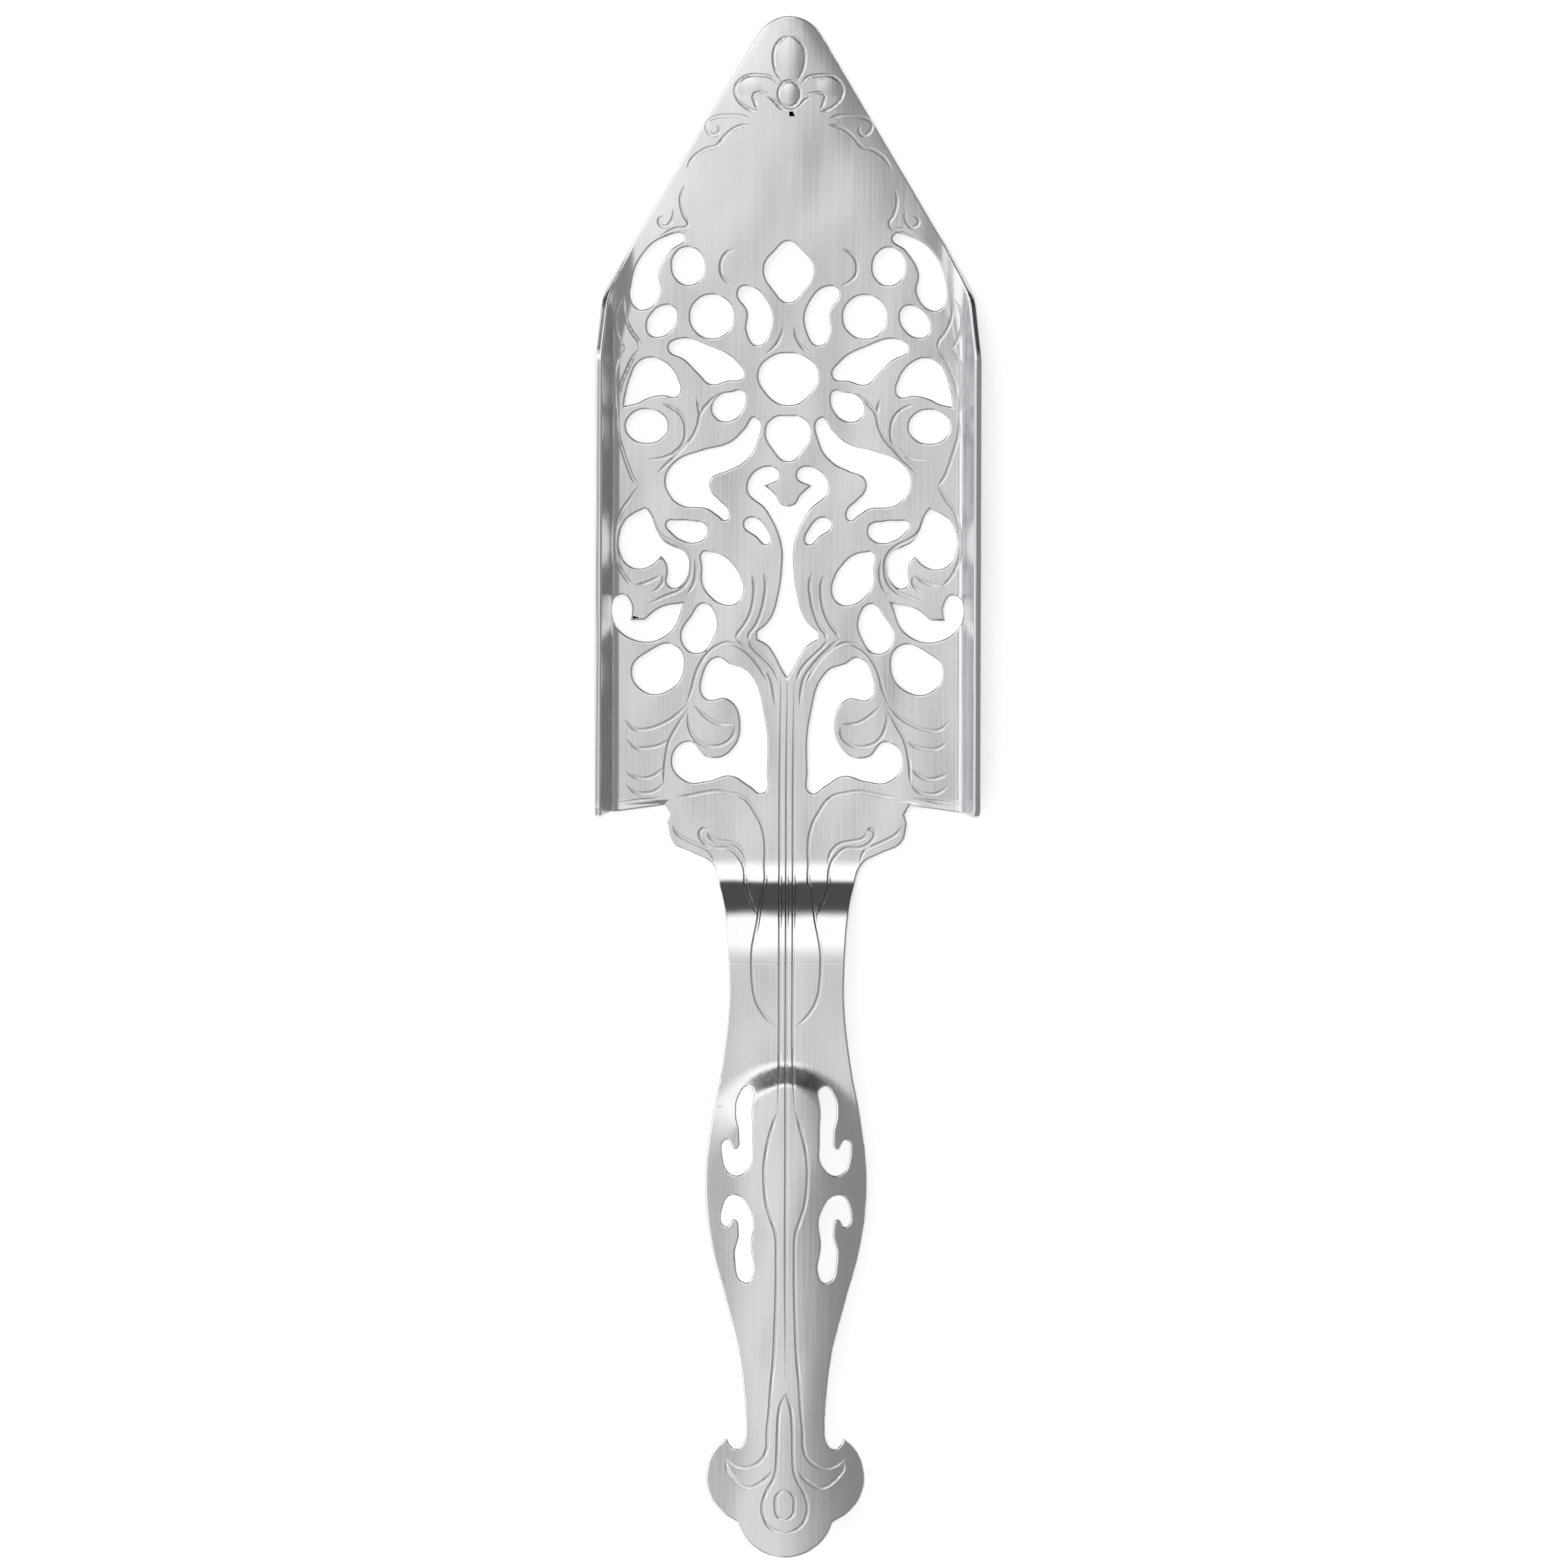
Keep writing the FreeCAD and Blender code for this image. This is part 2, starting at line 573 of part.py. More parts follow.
def round_flange_feet(body):
    """Rounds the corner where each wall's rim meets its foot."""
    base = body.Tip
    corners = []
    for index, edge in enumerate(base.Shape.Edges, start=1):
        ends = [vertex.Point for vertex in edge.Vertexes]
        behind_foot = all(point.y < foot_y for point in ends)
        at_rim = all(abs(point.x) > floor_half and point.z > rim_height - sizes.sheet_thickness for point in ends)
        if behind_foot and at_rim:
            corners.append(f"Edge{index}")
    print("rounds", len(corners), "flange corners")
    fillet = body.newObject("PartDesign::Fillet", "FlangeFeet")
    fillet.Base = (base, corners)
    fillet.setExpression("Radius", "Sizes.flange_corner_radius")
    return check(fillet)


# The pierced pattern
def pierce_side(body, name, loops, runs, ovals, place):
    """Cuts the openings of one side and their mirror images."""
    sketch = new_sketch(body, name, "XY_Plane")
    closed_loops = list(loops.values()) + [oval(*sizes_of_oval) for sizes_of_oval in ovals.values()]
    for points in closed_loops:
        sketch.addGeometry(smooth_curve([place(point) for point in points], closed=True), False)
    for outline in runs.values():
        for run in outline:
            sketch.addGeometry(run_curves([place(point) for point in run]), False)
    check(sketch)
    cut = cut_through(body, sketch, name + "Cut")
    return mirror_across(body, cut, name + "Pair")


def pierce_centre(body):
    """Cuts the openings on the middle line."""
    sketch = new_sketch(body, "CentreOpenings", "XY_Plane")
    for half in CENTRE_LOOPS.values():
        points = [on_blade(point) for point in half]
        other_half = mirrored(points)[1:-1]
        sketch.addGeometry(smooth_curve(points + other_half, closed=True), False)
    for run in KEYHOLE_RUNS:
        points = [on_blade(point) for point in run]
        sketch.addGeometry(run_curves(points), False)
        sketch.addGeometry(run_curves(mirrored(points)), False)
    check(sketch)
    return cut_through(body, sketch, "CentreCut")


def build_spoon():
    """Folds, crowns, trims and pierces the sheet."""
    body = doc.addObject("PartDesign::Body", "Spoon")
    body.Label = "spoon"
    profile = draw_side_profile(body)
    pad(body, profile, "SheetStrip", "Sizes.blade_floor_width", symmetric=True)
    section = draw_tray_section(body)
    folded_side = pad(body, section, "FoldedSide", "Sizes.blade_length", reverse=True)
    mirror_across(body, folded_side, "FoldedSides")
    add_crown(body)
    trim_to_outline(body)
    cut_flange_corner(body)
    round_flange_feet(body)
    pierce_side(body, "BladeOpenings", BLADE_LOOPS, BLADE_RUNS, BLADE_OVALS, on_blade)
    pierce_side(body, "HandleSlots", HANDLE_LOOPS, {}, {}, on_handle)
    pierce_centre(body)
    return body


spoon = build_spoon()
doc.recompute()

# Nothing is written unless every object is sound
for item in doc.Objects:
    if "Invalid" in item.State or "Error" in item.State:
        raise RuntimeError(item.Name + " is not sound")

parts = [spoon]
os.makedirs("parts", exist_ok=True)
for part in parts:
    if part.Shape.isNull() or not part.Shape.isValid():
        raise RuntimeError(part.Label + " has no valid shape")
    print(part.Label, "solids", len(part.Shape.Solids), "volume", round(part.Shape.Volume, 1), "mm3")
    part.Shape.exportStep("parts/" + part.Label + ".step")
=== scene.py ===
# %% [markdown]
# An absinthe spoon, seen from straight above on a white table. It is one stamped sheet of steel: a flat
# pierced blade with two walls folded up, a short stepped neck and a crowned, slotted handle.
# The spoon is made the way the press shop makes it: a flat blank is cut out and pierced, the lines are
# engraved while it is flat, and only then is the sheet folded. Every size is in metres unless it is named mm.

import math

import bmesh
import bpy
from mathutils import Matrix, Vector


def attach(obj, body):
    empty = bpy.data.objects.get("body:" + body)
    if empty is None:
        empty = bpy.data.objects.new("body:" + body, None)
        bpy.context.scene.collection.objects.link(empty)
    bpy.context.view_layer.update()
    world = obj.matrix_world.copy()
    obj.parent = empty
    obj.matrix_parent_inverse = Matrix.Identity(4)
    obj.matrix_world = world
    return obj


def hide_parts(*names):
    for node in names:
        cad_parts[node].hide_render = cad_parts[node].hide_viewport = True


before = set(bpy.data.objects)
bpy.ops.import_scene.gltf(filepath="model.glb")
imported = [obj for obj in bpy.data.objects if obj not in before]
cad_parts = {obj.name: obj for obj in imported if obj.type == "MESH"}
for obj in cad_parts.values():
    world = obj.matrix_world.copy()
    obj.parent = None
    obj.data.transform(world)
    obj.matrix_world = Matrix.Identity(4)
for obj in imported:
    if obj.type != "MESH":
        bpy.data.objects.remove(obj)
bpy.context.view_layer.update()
MM = 0.001

# %% [markdown]
# The photograph was taken from high above with little perspective, so the camera has a long lens. It shows
# 168 mm of the table, and the spoon leans a hair to the right in it, which is a small roll of the camera.

# %% Camera
VIEW_WIDTH = 168.0 * MM
LENS_MM = 400.0
SENSOR_MM = 36.0
SPOON_LEAN = math.radians(0.17)
VIEW_CENTRE = Vector((-0.35 * MM, 0.18 * MM, 0.9 * MM))

camera_data = bpy.data.cameras.new("camera")
camera_data.lens = LENS_MM
camera_data.sensor_width = SENSOR_MM
camera_data.clip_end = 50.0
camera = bpy.data.objects.new("camera", camera_data)
camera.location = VIEW_CENTRE + Vector((0, 0, VIEW_WIDTH * LENS_MM / SENSOR_MM))
camera.rotation_euler = (0, 0, SPOON_LEAN)
bpy.context.scene.collection.objects.link(camera)
bpy.context.scene.camera = camera
print("camera height in metres:", round(camera.location.z, 3))


# %% [markdown]
# Materials are small trees of nodes. These helpers add a node, set its values and join its sockets, so that
# each material below reads from top to bottom.

# %% Node helpers
def add_node(tree, kind, inputs=None, **settings):
    """Adds a node. inputs maps a socket's name or number to a value or to another node's output socket."""
    node = tree.nodes.new(kind)
    for name, value in settings.items():
        setattr(node, name, value)
    for key, value in (inputs or {}).items():
        if isinstance(value, bpy.types.NodeSocket):
            tree.links.new(value, node.inputs[key])
        else:
            node.inputs[key].default_value = value
    return node


def math_node(tree, operation, first, second=0.0, clamp=False):
    """The result of a sum on one or two values."""
    node = add_node(tree, "ShaderNodeMath", {0: first, 1: second}, operation=operation, use_clamp=clamp)
    return node.outputs[0]


def new_material(name):
    """A material with an empty tree and its output node."""
    material = bpy.data.materials.new(name)
    material.use_nodes = True
    tree = material.node_tree
    tree.nodes.clear()
    output = tree.nodes.new("ShaderNodeOutputMaterial")
    return material, tree, output


# %% [markdown]
# The table is pure white in the photograph, with a faint soft shadow beside the walls. A matt white floor
# alone would render light grey, so what the camera and the metal see of it is lifted a little. The shadow is
# kept, because the lift is added to the lit floor and doesn't replace it.

# %% White table
FLOOR_HALF = 3.0
FLOOR_LIFT = 0.5

floor_material, tree, output = new_material("white_table")
light_path = add_node(tree, "ShaderNodeLightPath")
seen = math_node(tree, "MAXIMUM", light_path.outputs["Is Camera Ray"], light_path.outputs["Is Glossy Ray"])
seen = math_node(tree, "MAXIMUM", seen, light_path.outputs["Is Transmission Ray"])
lift = math_node(tree, "MULTIPLY", seen, FLOOR_LIFT)
paper = add_node(tree, "ShaderNodeBsdfDiffuse", {"Color": (0.9, 0.9, 0.9, 1)})
glow = add_node(tree, "ShaderNodeEmission", {"Color": (1, 1, 1, 1), "Strength": lift})
both = add_node(tree, "ShaderNodeAddShader", {0: paper.outputs[0], 1: glow.outputs[0]})
tree.links.new(both.outputs[0], output.inputs["Surface"])

table = bmesh.new()
bmesh.ops.create_grid(table, x_segments=1, y_segments=1, size=FLOOR_HALF)
floor_mesh = bpy.data.meshes.new("table")
table.to_mesh(floor_mesh)
table.free()
floor = bpy.data.objects.new("table", floor_mesh)
floor.location.z = -0.02 * MM
floor.data.materials.append(floor_material)
bpy.context.scene.collection.objects.link(floor)

# %% [markdown]
# Polished metal has hardly a colour of its own: it shows the room. The room here is a soft studio: a pale
# ceiling, a brighter left side, a darker right side and a bright far light over a dark far wall, which gives
# the bends and the cut edges their light and dark bands. It is painted by direction in the world, so that it
# is the same from every side.

# %% Studio light
world = bpy.data.worlds.new("studio")
world.use_nodes = True
tree = world.node_tree
tree.nodes.clear()
direction = add_node(tree, "ShaderNodeTexCoord").outputs["Generated"]
axes = add_node(tree, "ShaderNodeSeparateXYZ", {0: direction})
across, along, up = axes.outputs


def soft_step(value, start, end):
    """A smooth change from 0 to 1 as value goes from start to end."""
    node = add_node(tree, "ShaderNodeMapRange", {0: value, 1: start, 2: end, 3: 0.0, 4: 1.0},
                    interpolation_type="SMOOTHSTEP")
    return node.outputs[0]


def blend_level(level, new_level, share):
    """Goes from one brightness to another by a share that is painted over the room."""
    node = add_node(tree, "ShaderNodeMix", {0: share, 2: level, 3: new_level}, data_type="FLOAT")
    return node.outputs[0]


CEILING_LEVEL = 1.03
NEAR_LEVEL = 0.3
LEFT_GLOW_LEVEL = 1.25
LEFT_SHADE_LEVEL = 0.5
LEFT_WINDOW_LEVEL = 1.6
RIGHT_LEVEL = 0.36
FAR_LIGHT_LEVEL = 1.7
FAR_WALL_LEVEL = 0.1
FAR_CORNER_LEVEL = 0.03

leftward = math_node(tree, "MULTIPLY", across, -1.0)
nearward = math_node(tree, "MULTIPLY", along, -1.0)
level = blend_level(CEILING_LEVEL, NEAR_LEVEL, soft_step(nearward, 0.2, 0.75))
level = blend_level(level, LEFT_GLOW_LEVEL, soft_step(leftward, 0.03, 0.2))
level = blend_level(level, LEFT_SHADE_LEVEL, soft_step(leftward, 0.22, 0.42))
level = blend_level(level, LEFT_WINDOW_LEVEL, soft_step(leftward, 0.55, 0.75))
level = blend_level(level, RIGHT_LEVEL, soft_step(across, 0.0, 0.22))
not_right = math_node(tree, "SUBTRACT", 1.0, soft_step(across, 0.06, 0.22))
far_share = math_node(tree, "MULTIPLY", soft_step(along, 0.0, 0.4), not_right)
level = blend_level(level, FAR_LIGHT_LEVEL, far_share)
level = blend_level(level, FAR_WALL_LEVEL, soft_step(along, 0.74, 0.86))
corner_share = math_node(tree, "MULTIPLY", soft_step(along, 0.55, 0.68),
                         soft_step(math_node(tree, "ABSOLUTE", across), 0.25, 0.4))
level = blend_level(level, FAR_CORNER_LEVEL, corner_share)
background = add_node(tree, "ShaderNodeBackground", {"Color": (1, 1, 1, 1), "Strength": level})
world_output = tree.nodes.new("ShaderNodeOutputWorld")
tree.links.new(background.outputs[0], world_output.inputs["Surface"])
bpy.context.scene.world = world
bpy.context.scene.view_settings.view_transform = "Standard"

# %% [markdown]
# The press folds the flat blank: the two walls turn up, the neck steps up in an S and the handle gets its
# crown. A cage of bones or a Simple Deform modifier could bend a mesh, but a stamped sheet keeps its lengths,
# and that is easy to say as a rule. So the fold is a function that carries a point of the flat blank to its
# place on the spoon. From here to the last step the work is in millimetres.

# %% Sizes of the fold
# WALL_CORNER is where the top faces of the floor and the wall would meet if the bend were sharp
SHEET = 0.9
WALL_CORNER = 18.76
WALL_ANGLE = math.radians(75)
WALL_RADIUS = 1.0
WALL_HEIGHT = 5.2
FRONT_RADIUS = 3.4
OPENING_START = 45.0
OPENING_FULL = 55.0
NECK_START = -7.7
NECK_ANGLE = math.radians(35)
NECK_FOOT_RADIUS = 5.6
NECK_TOP_RADIUS = 11.4
NECK_STRAIGHT = 1.79
CROWN_HALF = 9.3
CROWN_HEIGHT = 1.48
CROWN_FRONT = -29.3
CROWN_ARCH = 0.06
CROWN_RAMP = 3.0
RAMP_EASE_IN = 0.3
RAMP_EASE_OUT = 0.2
RAMP_SIDE = 6.0
RAMP_SIDE_STRETCH = 1.4
RAMP_SIDE_EASE = 0.6
TIP_CROWN = 0.55
TIP_CROWN_START = 40.0
TIP_CROWN_FULL = 62.0
NOSE_START = 74.0
NOSE_DROOP = 0.35
LIP_START = -1.5
FOOT_LIP_SLOPE = 0.12

floor_edge = WALL_CORNER - WALL_RADIUS * math.tan(WALL_ANGLE / 2)
bend_length = WALL_RADIUS * WALL_ANGLE
bend_top = SHEET + WALL_RADIUS * (1 - math.cos(WALL_ANGLE))
rim_x = floor_edge + bend_length + (WALL_HEIGHT - bend_top) / math.sin(WALL_ANGLE)
foot_arc = NECK_FOOT_RADIUS * NECK_ANGLE
top_arc = NECK_TOP_RADIUS * NECK_ANGLE
neck_run = foot_arc + NECK_STRAIGHT + top_arc
foot_end_y = NECK_START - NECK_FOOT_RADIUS * math.sin(NECK_ANGLE)
top_start_y = foot_end_y - NECK_STRAIGHT * math.cos(NECK_ANGLE)
crease_y = top_start_y - NECK_TOP_RADIUS * math.sin(NECK_ANGLE)
neck_slack = neck_run - (NECK_START - crease_y)
crown_radius = (CROWN_HALF ** 2 + CROWN_HEIGHT ** 2) / (2 * CROWN_HEIGHT)
print("the flat blank is", round(2 * rim_x, 2), "mm wide")
print("it is", round(neck_slack, 2), "mm longer than the spoon")

# %% [markdown]
# The tip is a rounded point. The press arches it a little and domes the petals and the bead of its lily. They
# could be sculpted, but a dome is one short sum. The arch needs the tip's width, so its outline comes first.

# %% The tip's outline
TIP_Y = 82.5
TIP_RADIUS = 4.0
TIP_LEAN = math.radians(30.75)
SHOULDER_X = 13.15

# centre across, centre along, half across, half along, height; the ones beside the middle are mirrored
LILY_DOMES = [(0.0, 74.1, 1.05, 1.3, 0.1), (0.0, 77.75, 1.55, 2.5, 0.1), (4.35, 74.9, 1.4, 1.0, 0.05)]
LILY_HALF = 6.0
LILY_FOOT = 72.6
LILY_TOP = 80.4
LILY_STEP = 0.4

tip_turn = math.pi / 2 - TIP_LEAN
tip_side_x = TIP_RADIUS * math.sin(tip_turn)
tip_side_y = TIP_Y - TIP_RADIUS + TIP_RADIUS * math.cos(tip_turn)


def tip_half_at(y):
    """Half the width of the blade's tip."""
    return tip_side_x + (tip_side_y - y) * math.tan(TIP_LEAN)


print("the tip is", round(2 * tip_half_at(60.0), 2), "mm wide at the first openings")


# %% From the flat blank to the folded spoon
def neck_at(flat_y):
    """The top face on the middle line: its place along, its height and its slope."""
    run = NECK_START - flat_y
    if run <= 0:
        return flat_y, SHEET, 0.0
    slope = min(run / NECK_FOOT_RADIUS, NECK_ANGLE)
    along = NECK_START - NECK_FOOT_RADIUS * math.sin(slope)
    height = SHEET + NECK_FOOT_RADIUS * (1 - math.cos(slope))
    straight = min(max(run - foot_arc, 0.0), NECK_STRAIGHT)
    along -= straight * math.cos(NECK_ANGLE)
    height += straight * math.sin(NECK_ANGLE)
    if run > foot_arc + NECK_STRAIGHT:
        slope = max((neck_run - run) / NECK_TOP_RADIUS, 0.0)
        along -= NECK_TOP_RADIUS * (math.sin(NECK_ANGLE) - math.sin(slope))
        height += NECK_TOP_RADIUS * (math.cos(slope) - math.cos(NECK_ANGLE))
    along -= max(run - neck_run, 0.0)
    return along, height, slope


def eased_ramp(place, ease_in, ease_out):
    """A straight ramp from 0 to 1 whose two ends are eased over a share of its length."""
    place = min(max(place, 0.0), 1.0)
    slope = 1 / (1 - (ease_in + ease_out) / 2)
    if place < ease_in:
        return slope * place * place / (2 * ease_in)
    if place > 1 - ease_out:
        return 1 - slope * (1 - place) ** 2 / (2 * ease_out)
    return slope * (place - ease_in / 2)


def crown_at(x, y):
    """How far the crown lifts the handle. Its front ramp is steep in the middle and soft at the sides."""
    side = min((x / RAMP_SIDE) ** 2, 1.0)
    front = CROWN_FRONT - CROWN_ARCH * x * x
    ramp = CROWN_RAMP * (1 + RAMP_SIDE_STRETCH * side)
    share = eased_ramp((front - y) / ramp, RAMP_EASE_IN, RAMP_EASE_OUT + RAMP_SIDE_EASE * side)
    drop = crown_radius - math.sqrt(crown_radius ** 2 - x * x)
    return (CROWN_HEIGHT - drop) * share


def tip_crown_at(x, y):
    """How far the blade's tip swells: flat in the middle, it droops to its sides, its nose and the blade."""
    if y < TIP_CROWN_START:
        return 0.0
    half = max(tip_half_at(y), 0.1)
    across = max(1 - abs(x / half) ** 3, 0.0)
    back = eased_ramp((y - TIP_CROWN_START) / (TIP_CROWN_FULL - TIP_CROWN_START), 0.5, 0.5)
    nose = 1 - NOSE_DROOP * max((y - NOSE_START) / (TIP_Y - NOSE_START), 0.0) ** 2
    return TIP_CROWN * across * back * nose


def lily_at(x, y):
    """How far the lily's petals and its bead are domed."""
    for centre_x, centre_y, half_across, half_along, height in LILY_DOMES:
        radius = math.hypot((abs(x) - centre_x) / half_across, (y - centre_y) / half_along)
        if radius < 1:
            return height * (1 - radius ** 2)
    return 0.0


def lip_at(x, y):
    """How far the blade's foot rises outside the line that is pressed along it."""
    if abs(x) < SHOULDER_X:
        return 0.0
    return FOOT_LIP_SLOPE * max(LIP_START - y, 0.0)


def wall_bend_at(y):
    """Where the wall's bend starts and its radius. It opens out towards the front, where the tip begins."""
    share = eased_ramp((y - OPENING_START) / (OPENING_FULL - OPENING_START), 0.5, 0.5)
    radius = WALL_RADIUS + (FRONT_RADIUS - WALL_RADIUS) * share
    return WALL_CORNER - radius * math.tan(WALL_ANGLE / 2), radius


def fold(point):
    """Carries a point of the flat blank, in millimetres, to its place on the spoon."""
    side = math.copysign(1.0, point.x)
    start, radius = wall_bend_at(point.y)
    run = abs(point.x) - start
    depth = SHEET - point.z
    if run > 0:
        turn = min(run / radius, WALL_ANGLE)
        rest = max(run - radius * WALL_ANGLE, 0.0)
        x = start + (radius + depth) * math.sin(turn) + rest * math.cos(turn)
        z = SHEET + radius - (radius + depth) * math.cos(turn) + rest * math.sin(turn)
        return Vector((side * x, point.y, z + tip_crown_at(x, point.y) + lip_at(start, point.y)))
    along, height, slope = neck_at(point.y)
    y = along - depth * math.sin(slope)
    z = height - depth * math.cos(slope)
    if y < CROWN_FRONT:
        z += crown_at(point.x, y)
    pressed = tip_crown_at(point.x, y) + lily_at(point.x, y) + lip_at(point.x, y)
    return Vector((point.x, y, z + pressed))


def unfold(x, y):
    """Carries a point seen from above to the flat blank's top face."""
    start, radius = wall_bend_at(y)
    run = abs(x) - start
    if run > 0:
        x = math.copysign(start + radius * math.asin(min(run / radius, 0.96)), x)
    if y < crease_y:
        y -= neck_slack
    elif y < top_start_y:
        y = NECK_START - neck_run + NECK_TOP_RADIUS * math.asin((y - crease_y) / NECK_TOP_RADIUS)
    elif y < foot_end_y:
        y = NECK_START - foot_arc - (foot_end_y - y) / math.cos(NECK_ANGLE)
    elif y < NECK_START:
        y = NECK_START - NECK_FOOT_RADIUS * math.asin((NECK_START - y) / NECK_FOOT_RADIUS)
    return x, y


# %% [markdown]
# The drawing of the blank. The two halves mirror each other, so only the right half is drawn: across from the
# middle line and along from half the spoon's length, seen from above. A Bezier curve with automatic handles
# runs smoothly through listed points, and an outline with corners is a list of runs.

# %% Openings of the blade and handle
SMOOTH_OPENINGS = [
    [(11.2, 58.8), (13.3, 58.7), (15.5, 57.0), (16.7, 54.0), (16.5, 51.4), (15.4, 51.0), (13.8, 52.8),
     (14.0, 54.9), (12.6, 57.4)],
    [(4.7, 53.5), (5.4, 52.8), (4.35, 50.8), (4.4, 48.6), (3.3, 47.2), (2.05, 48.6), (2.1, 51.4)],
    [(11.9, 47.75), (12.8, 46.9), (11.0, 45.6), (9.5, 44.1), (8.3, 43.05), (6.6, 43.4), (4.85, 43.85),
     (5.6, 45.4), (8.2, 46.95)],
    [(4.85, 42.2), (6.1, 42.1), (7.3, 41.8), (8.1, 40.5), (7.7, 39.45), (6.8, 39.05), (5.8, 39.3),
     (4.95, 40.2), (4.6, 41.4)],
    [(3.5, 39.35), (4.6, 38.15), (6.2, 36.7), (9.3, 35.8), (11.9, 34.7), (13.05, 32.9), (12.5, 31.0),
     (11.3, 30.05), (8.6, 29.7), (7.5, 29.0), (6.6, 28.5), (6.35, 29.3), (7.5, 30.6), (8.35, 31.6),
     (8.3, 32.9), (6.6, 33.75), (4.8, 34.7), (3.5, 36.5)],
    [(8.9, 27.95), (10.1, 28.25), (11.7, 28.35), (12.95, 28.1), (12.3, 27.0), (11.25, 26.3), (10.1, 26.05),
     (9.0, 26.5), (8.65, 27.25)],
    [(2.1, 25.95), (2.4, 27.6), (3.9, 28.7), (4.65, 28.0), (3.4, 26.8)],
    [(9.1, 24.9), (9.1, 23.4), (9.05, 21.6), (8.3, 20.4), (7.0, 19.5), (5.7, 19.5), (4.85, 20.6), (5.1, 22.3),
     (5.9, 23.6), (7.0, 24.6), (8.2, 24.95)],
    [(9.0, 19.45), (7.75, 18.1), (8.0, 15.9), (9.7, 14.2), (11.3, 15.7), (10.2, 18.2)],
    [(12.1, 14.95), (15.0, 14.2), (16.6, 12.4), (15.3, 10.1), (13.0, 10.1), (11.2, 12.4)],
    [(7.6, 13.65), (9.0, 11.8), (8.8, 9.4), (6.3, 9.3), (5.0, 7.0), (6.2, 3.5), (8.6, 3.0), (10.6, 4.65),
     (12.3, 2.7), (10.8, 0.5), (8.6, 0.5), (6.0, 1.1), (4.0, 0.0), (2.6, -0.75), (2.25, 1.6), (2.55, 7.6),
     (4.3, 12.2), (6.2, 13.0)],
    [(4.0, -32.2), (5.0, -33.1), (5.35, -35.1), (5.0, -37.2), (5.4, -38.9), (6.4, -37.9), (6.8, -39.5),
     (5.6, -41.6), (3.9, -40.6), (3.65, -38.1), (3.75, -35.1)],
    [(5.7, -43.8), (6.75, -45.1), (6.4, -47.1), (5.5, -46.3), (5.0, -47.6), (5.4, -50.3), (4.3, -53.1),
     (3.6, -52.4), (3.8, -49.2), (3.7, -45.9)],
]
CORNERED_OPENINGS = [
    [[(17.6, 40.65), (16.3, 40.95), (14.9, 41.6), (13.4, 41.85), (12.0, 41.7), (11.6, 42.4), (11.85, 43.4),
      (12.5, 44.6), (13.5, 45.45), (14.8, 45.8), (16.1, 45.2), (16.9, 43.6), (17.35, 42.0), (17.6, 40.65)]],
    [[(15.25, 29.65), (16.4, 29.1), (17.35, 28.35), (18.0, 26.6), (17.85, 24.8), (17.15, 23.7), (16.0, 23.25),
      (14.7, 23.6), (13.6, 24.65)],
     [(13.6, 24.65), (13.0, 23.9), (12.8, 22.9), (12.85, 21.6), (12.1, 21.2), (11.2, 21.8), (10.65, 23.2),
      (11.0, 24.9), (12.3, 25.55), (13.3, 26.1), (14.1, 27.3), (14.8, 29.1), (15.25, 29.65)]],
    [[(11.2, 19.5), (13.6, 19.0), (15.3, 17.7)], [(15.3, 17.7), (16.85, 17.65)],
     [(16.85, 17.65), (16.8, 19.4), (17.8, 20.4), (18.65, 18.2), (16.3, 15.6), (12.8, 16.3), (11.2, 19.5)]],
]
MIDDLE_OPENINGS = [
    [(0.0, 58.3), (1.4, 57.3), (2.6, 55.4), (1.5, 53.0), (0.0, 51.8)],
    [(0.0, 46.3), (1.6, 46.0), (3.1, 44.4), (2.5, 42.3), (0.0, 40.8)],
    [(0.0, 39.55), (1.5, 39.35), (2.35, 38.0), (1.6, 36.1), (0.0, 34.8)],
]
KEYHOLE = [
    [(0.0, 29.85), (0.75, 30.1), (1.4, 31.1), (2.6, 32.15)],
    [(2.6, 32.15), (1.0, 33.2), (1.9, 34.15), (4.3, 32.0), (2.2, 29.5), (0.65, 26.0), (0.6, 22.8),
     (0.95, 20.4), (1.45, 18.5), (2.1, 17.4), (3.2, 16.45)],
    [(3.2, 16.45), (3.2, 15.75)],
    [(3.2, 15.75), (2.1, 15.1), (1.35, 14.1), (0.65, 12.7), (0.0, 11.6)],
]
# centre across, centre along, half length, half width, turn in degrees
OVALS = [(8.2, 50.25, 2.3, 2.3, 0), (10.75, 55.65, 2.0, 1.72, 85), (13.55, 49.75, 1.9, 1.33, -50),
         (15.15, 38.5, 2.2, 1.78, 0)]
print("openings on each side:", len(SMOOTH_OPENINGS) + len(CORNERED_OPENINGS) + len(OVALS))

# %% Outline of the right half, from the tip to the end
END_ARC_RADIUS = 5.39
END_ARC_HALF = math.radians(72.8)


def arc_points(centre_y, radius, start, end, count):
    """Points of an arc round a centre on the middle line; angles are turned from the +Y side."""
    angles = [start + (end - start) * step / (count - 1) for step in range(count)]
    return [(radius * math.sin(angle), centre_y + radius * math.cos(angle)) for angle in angles]


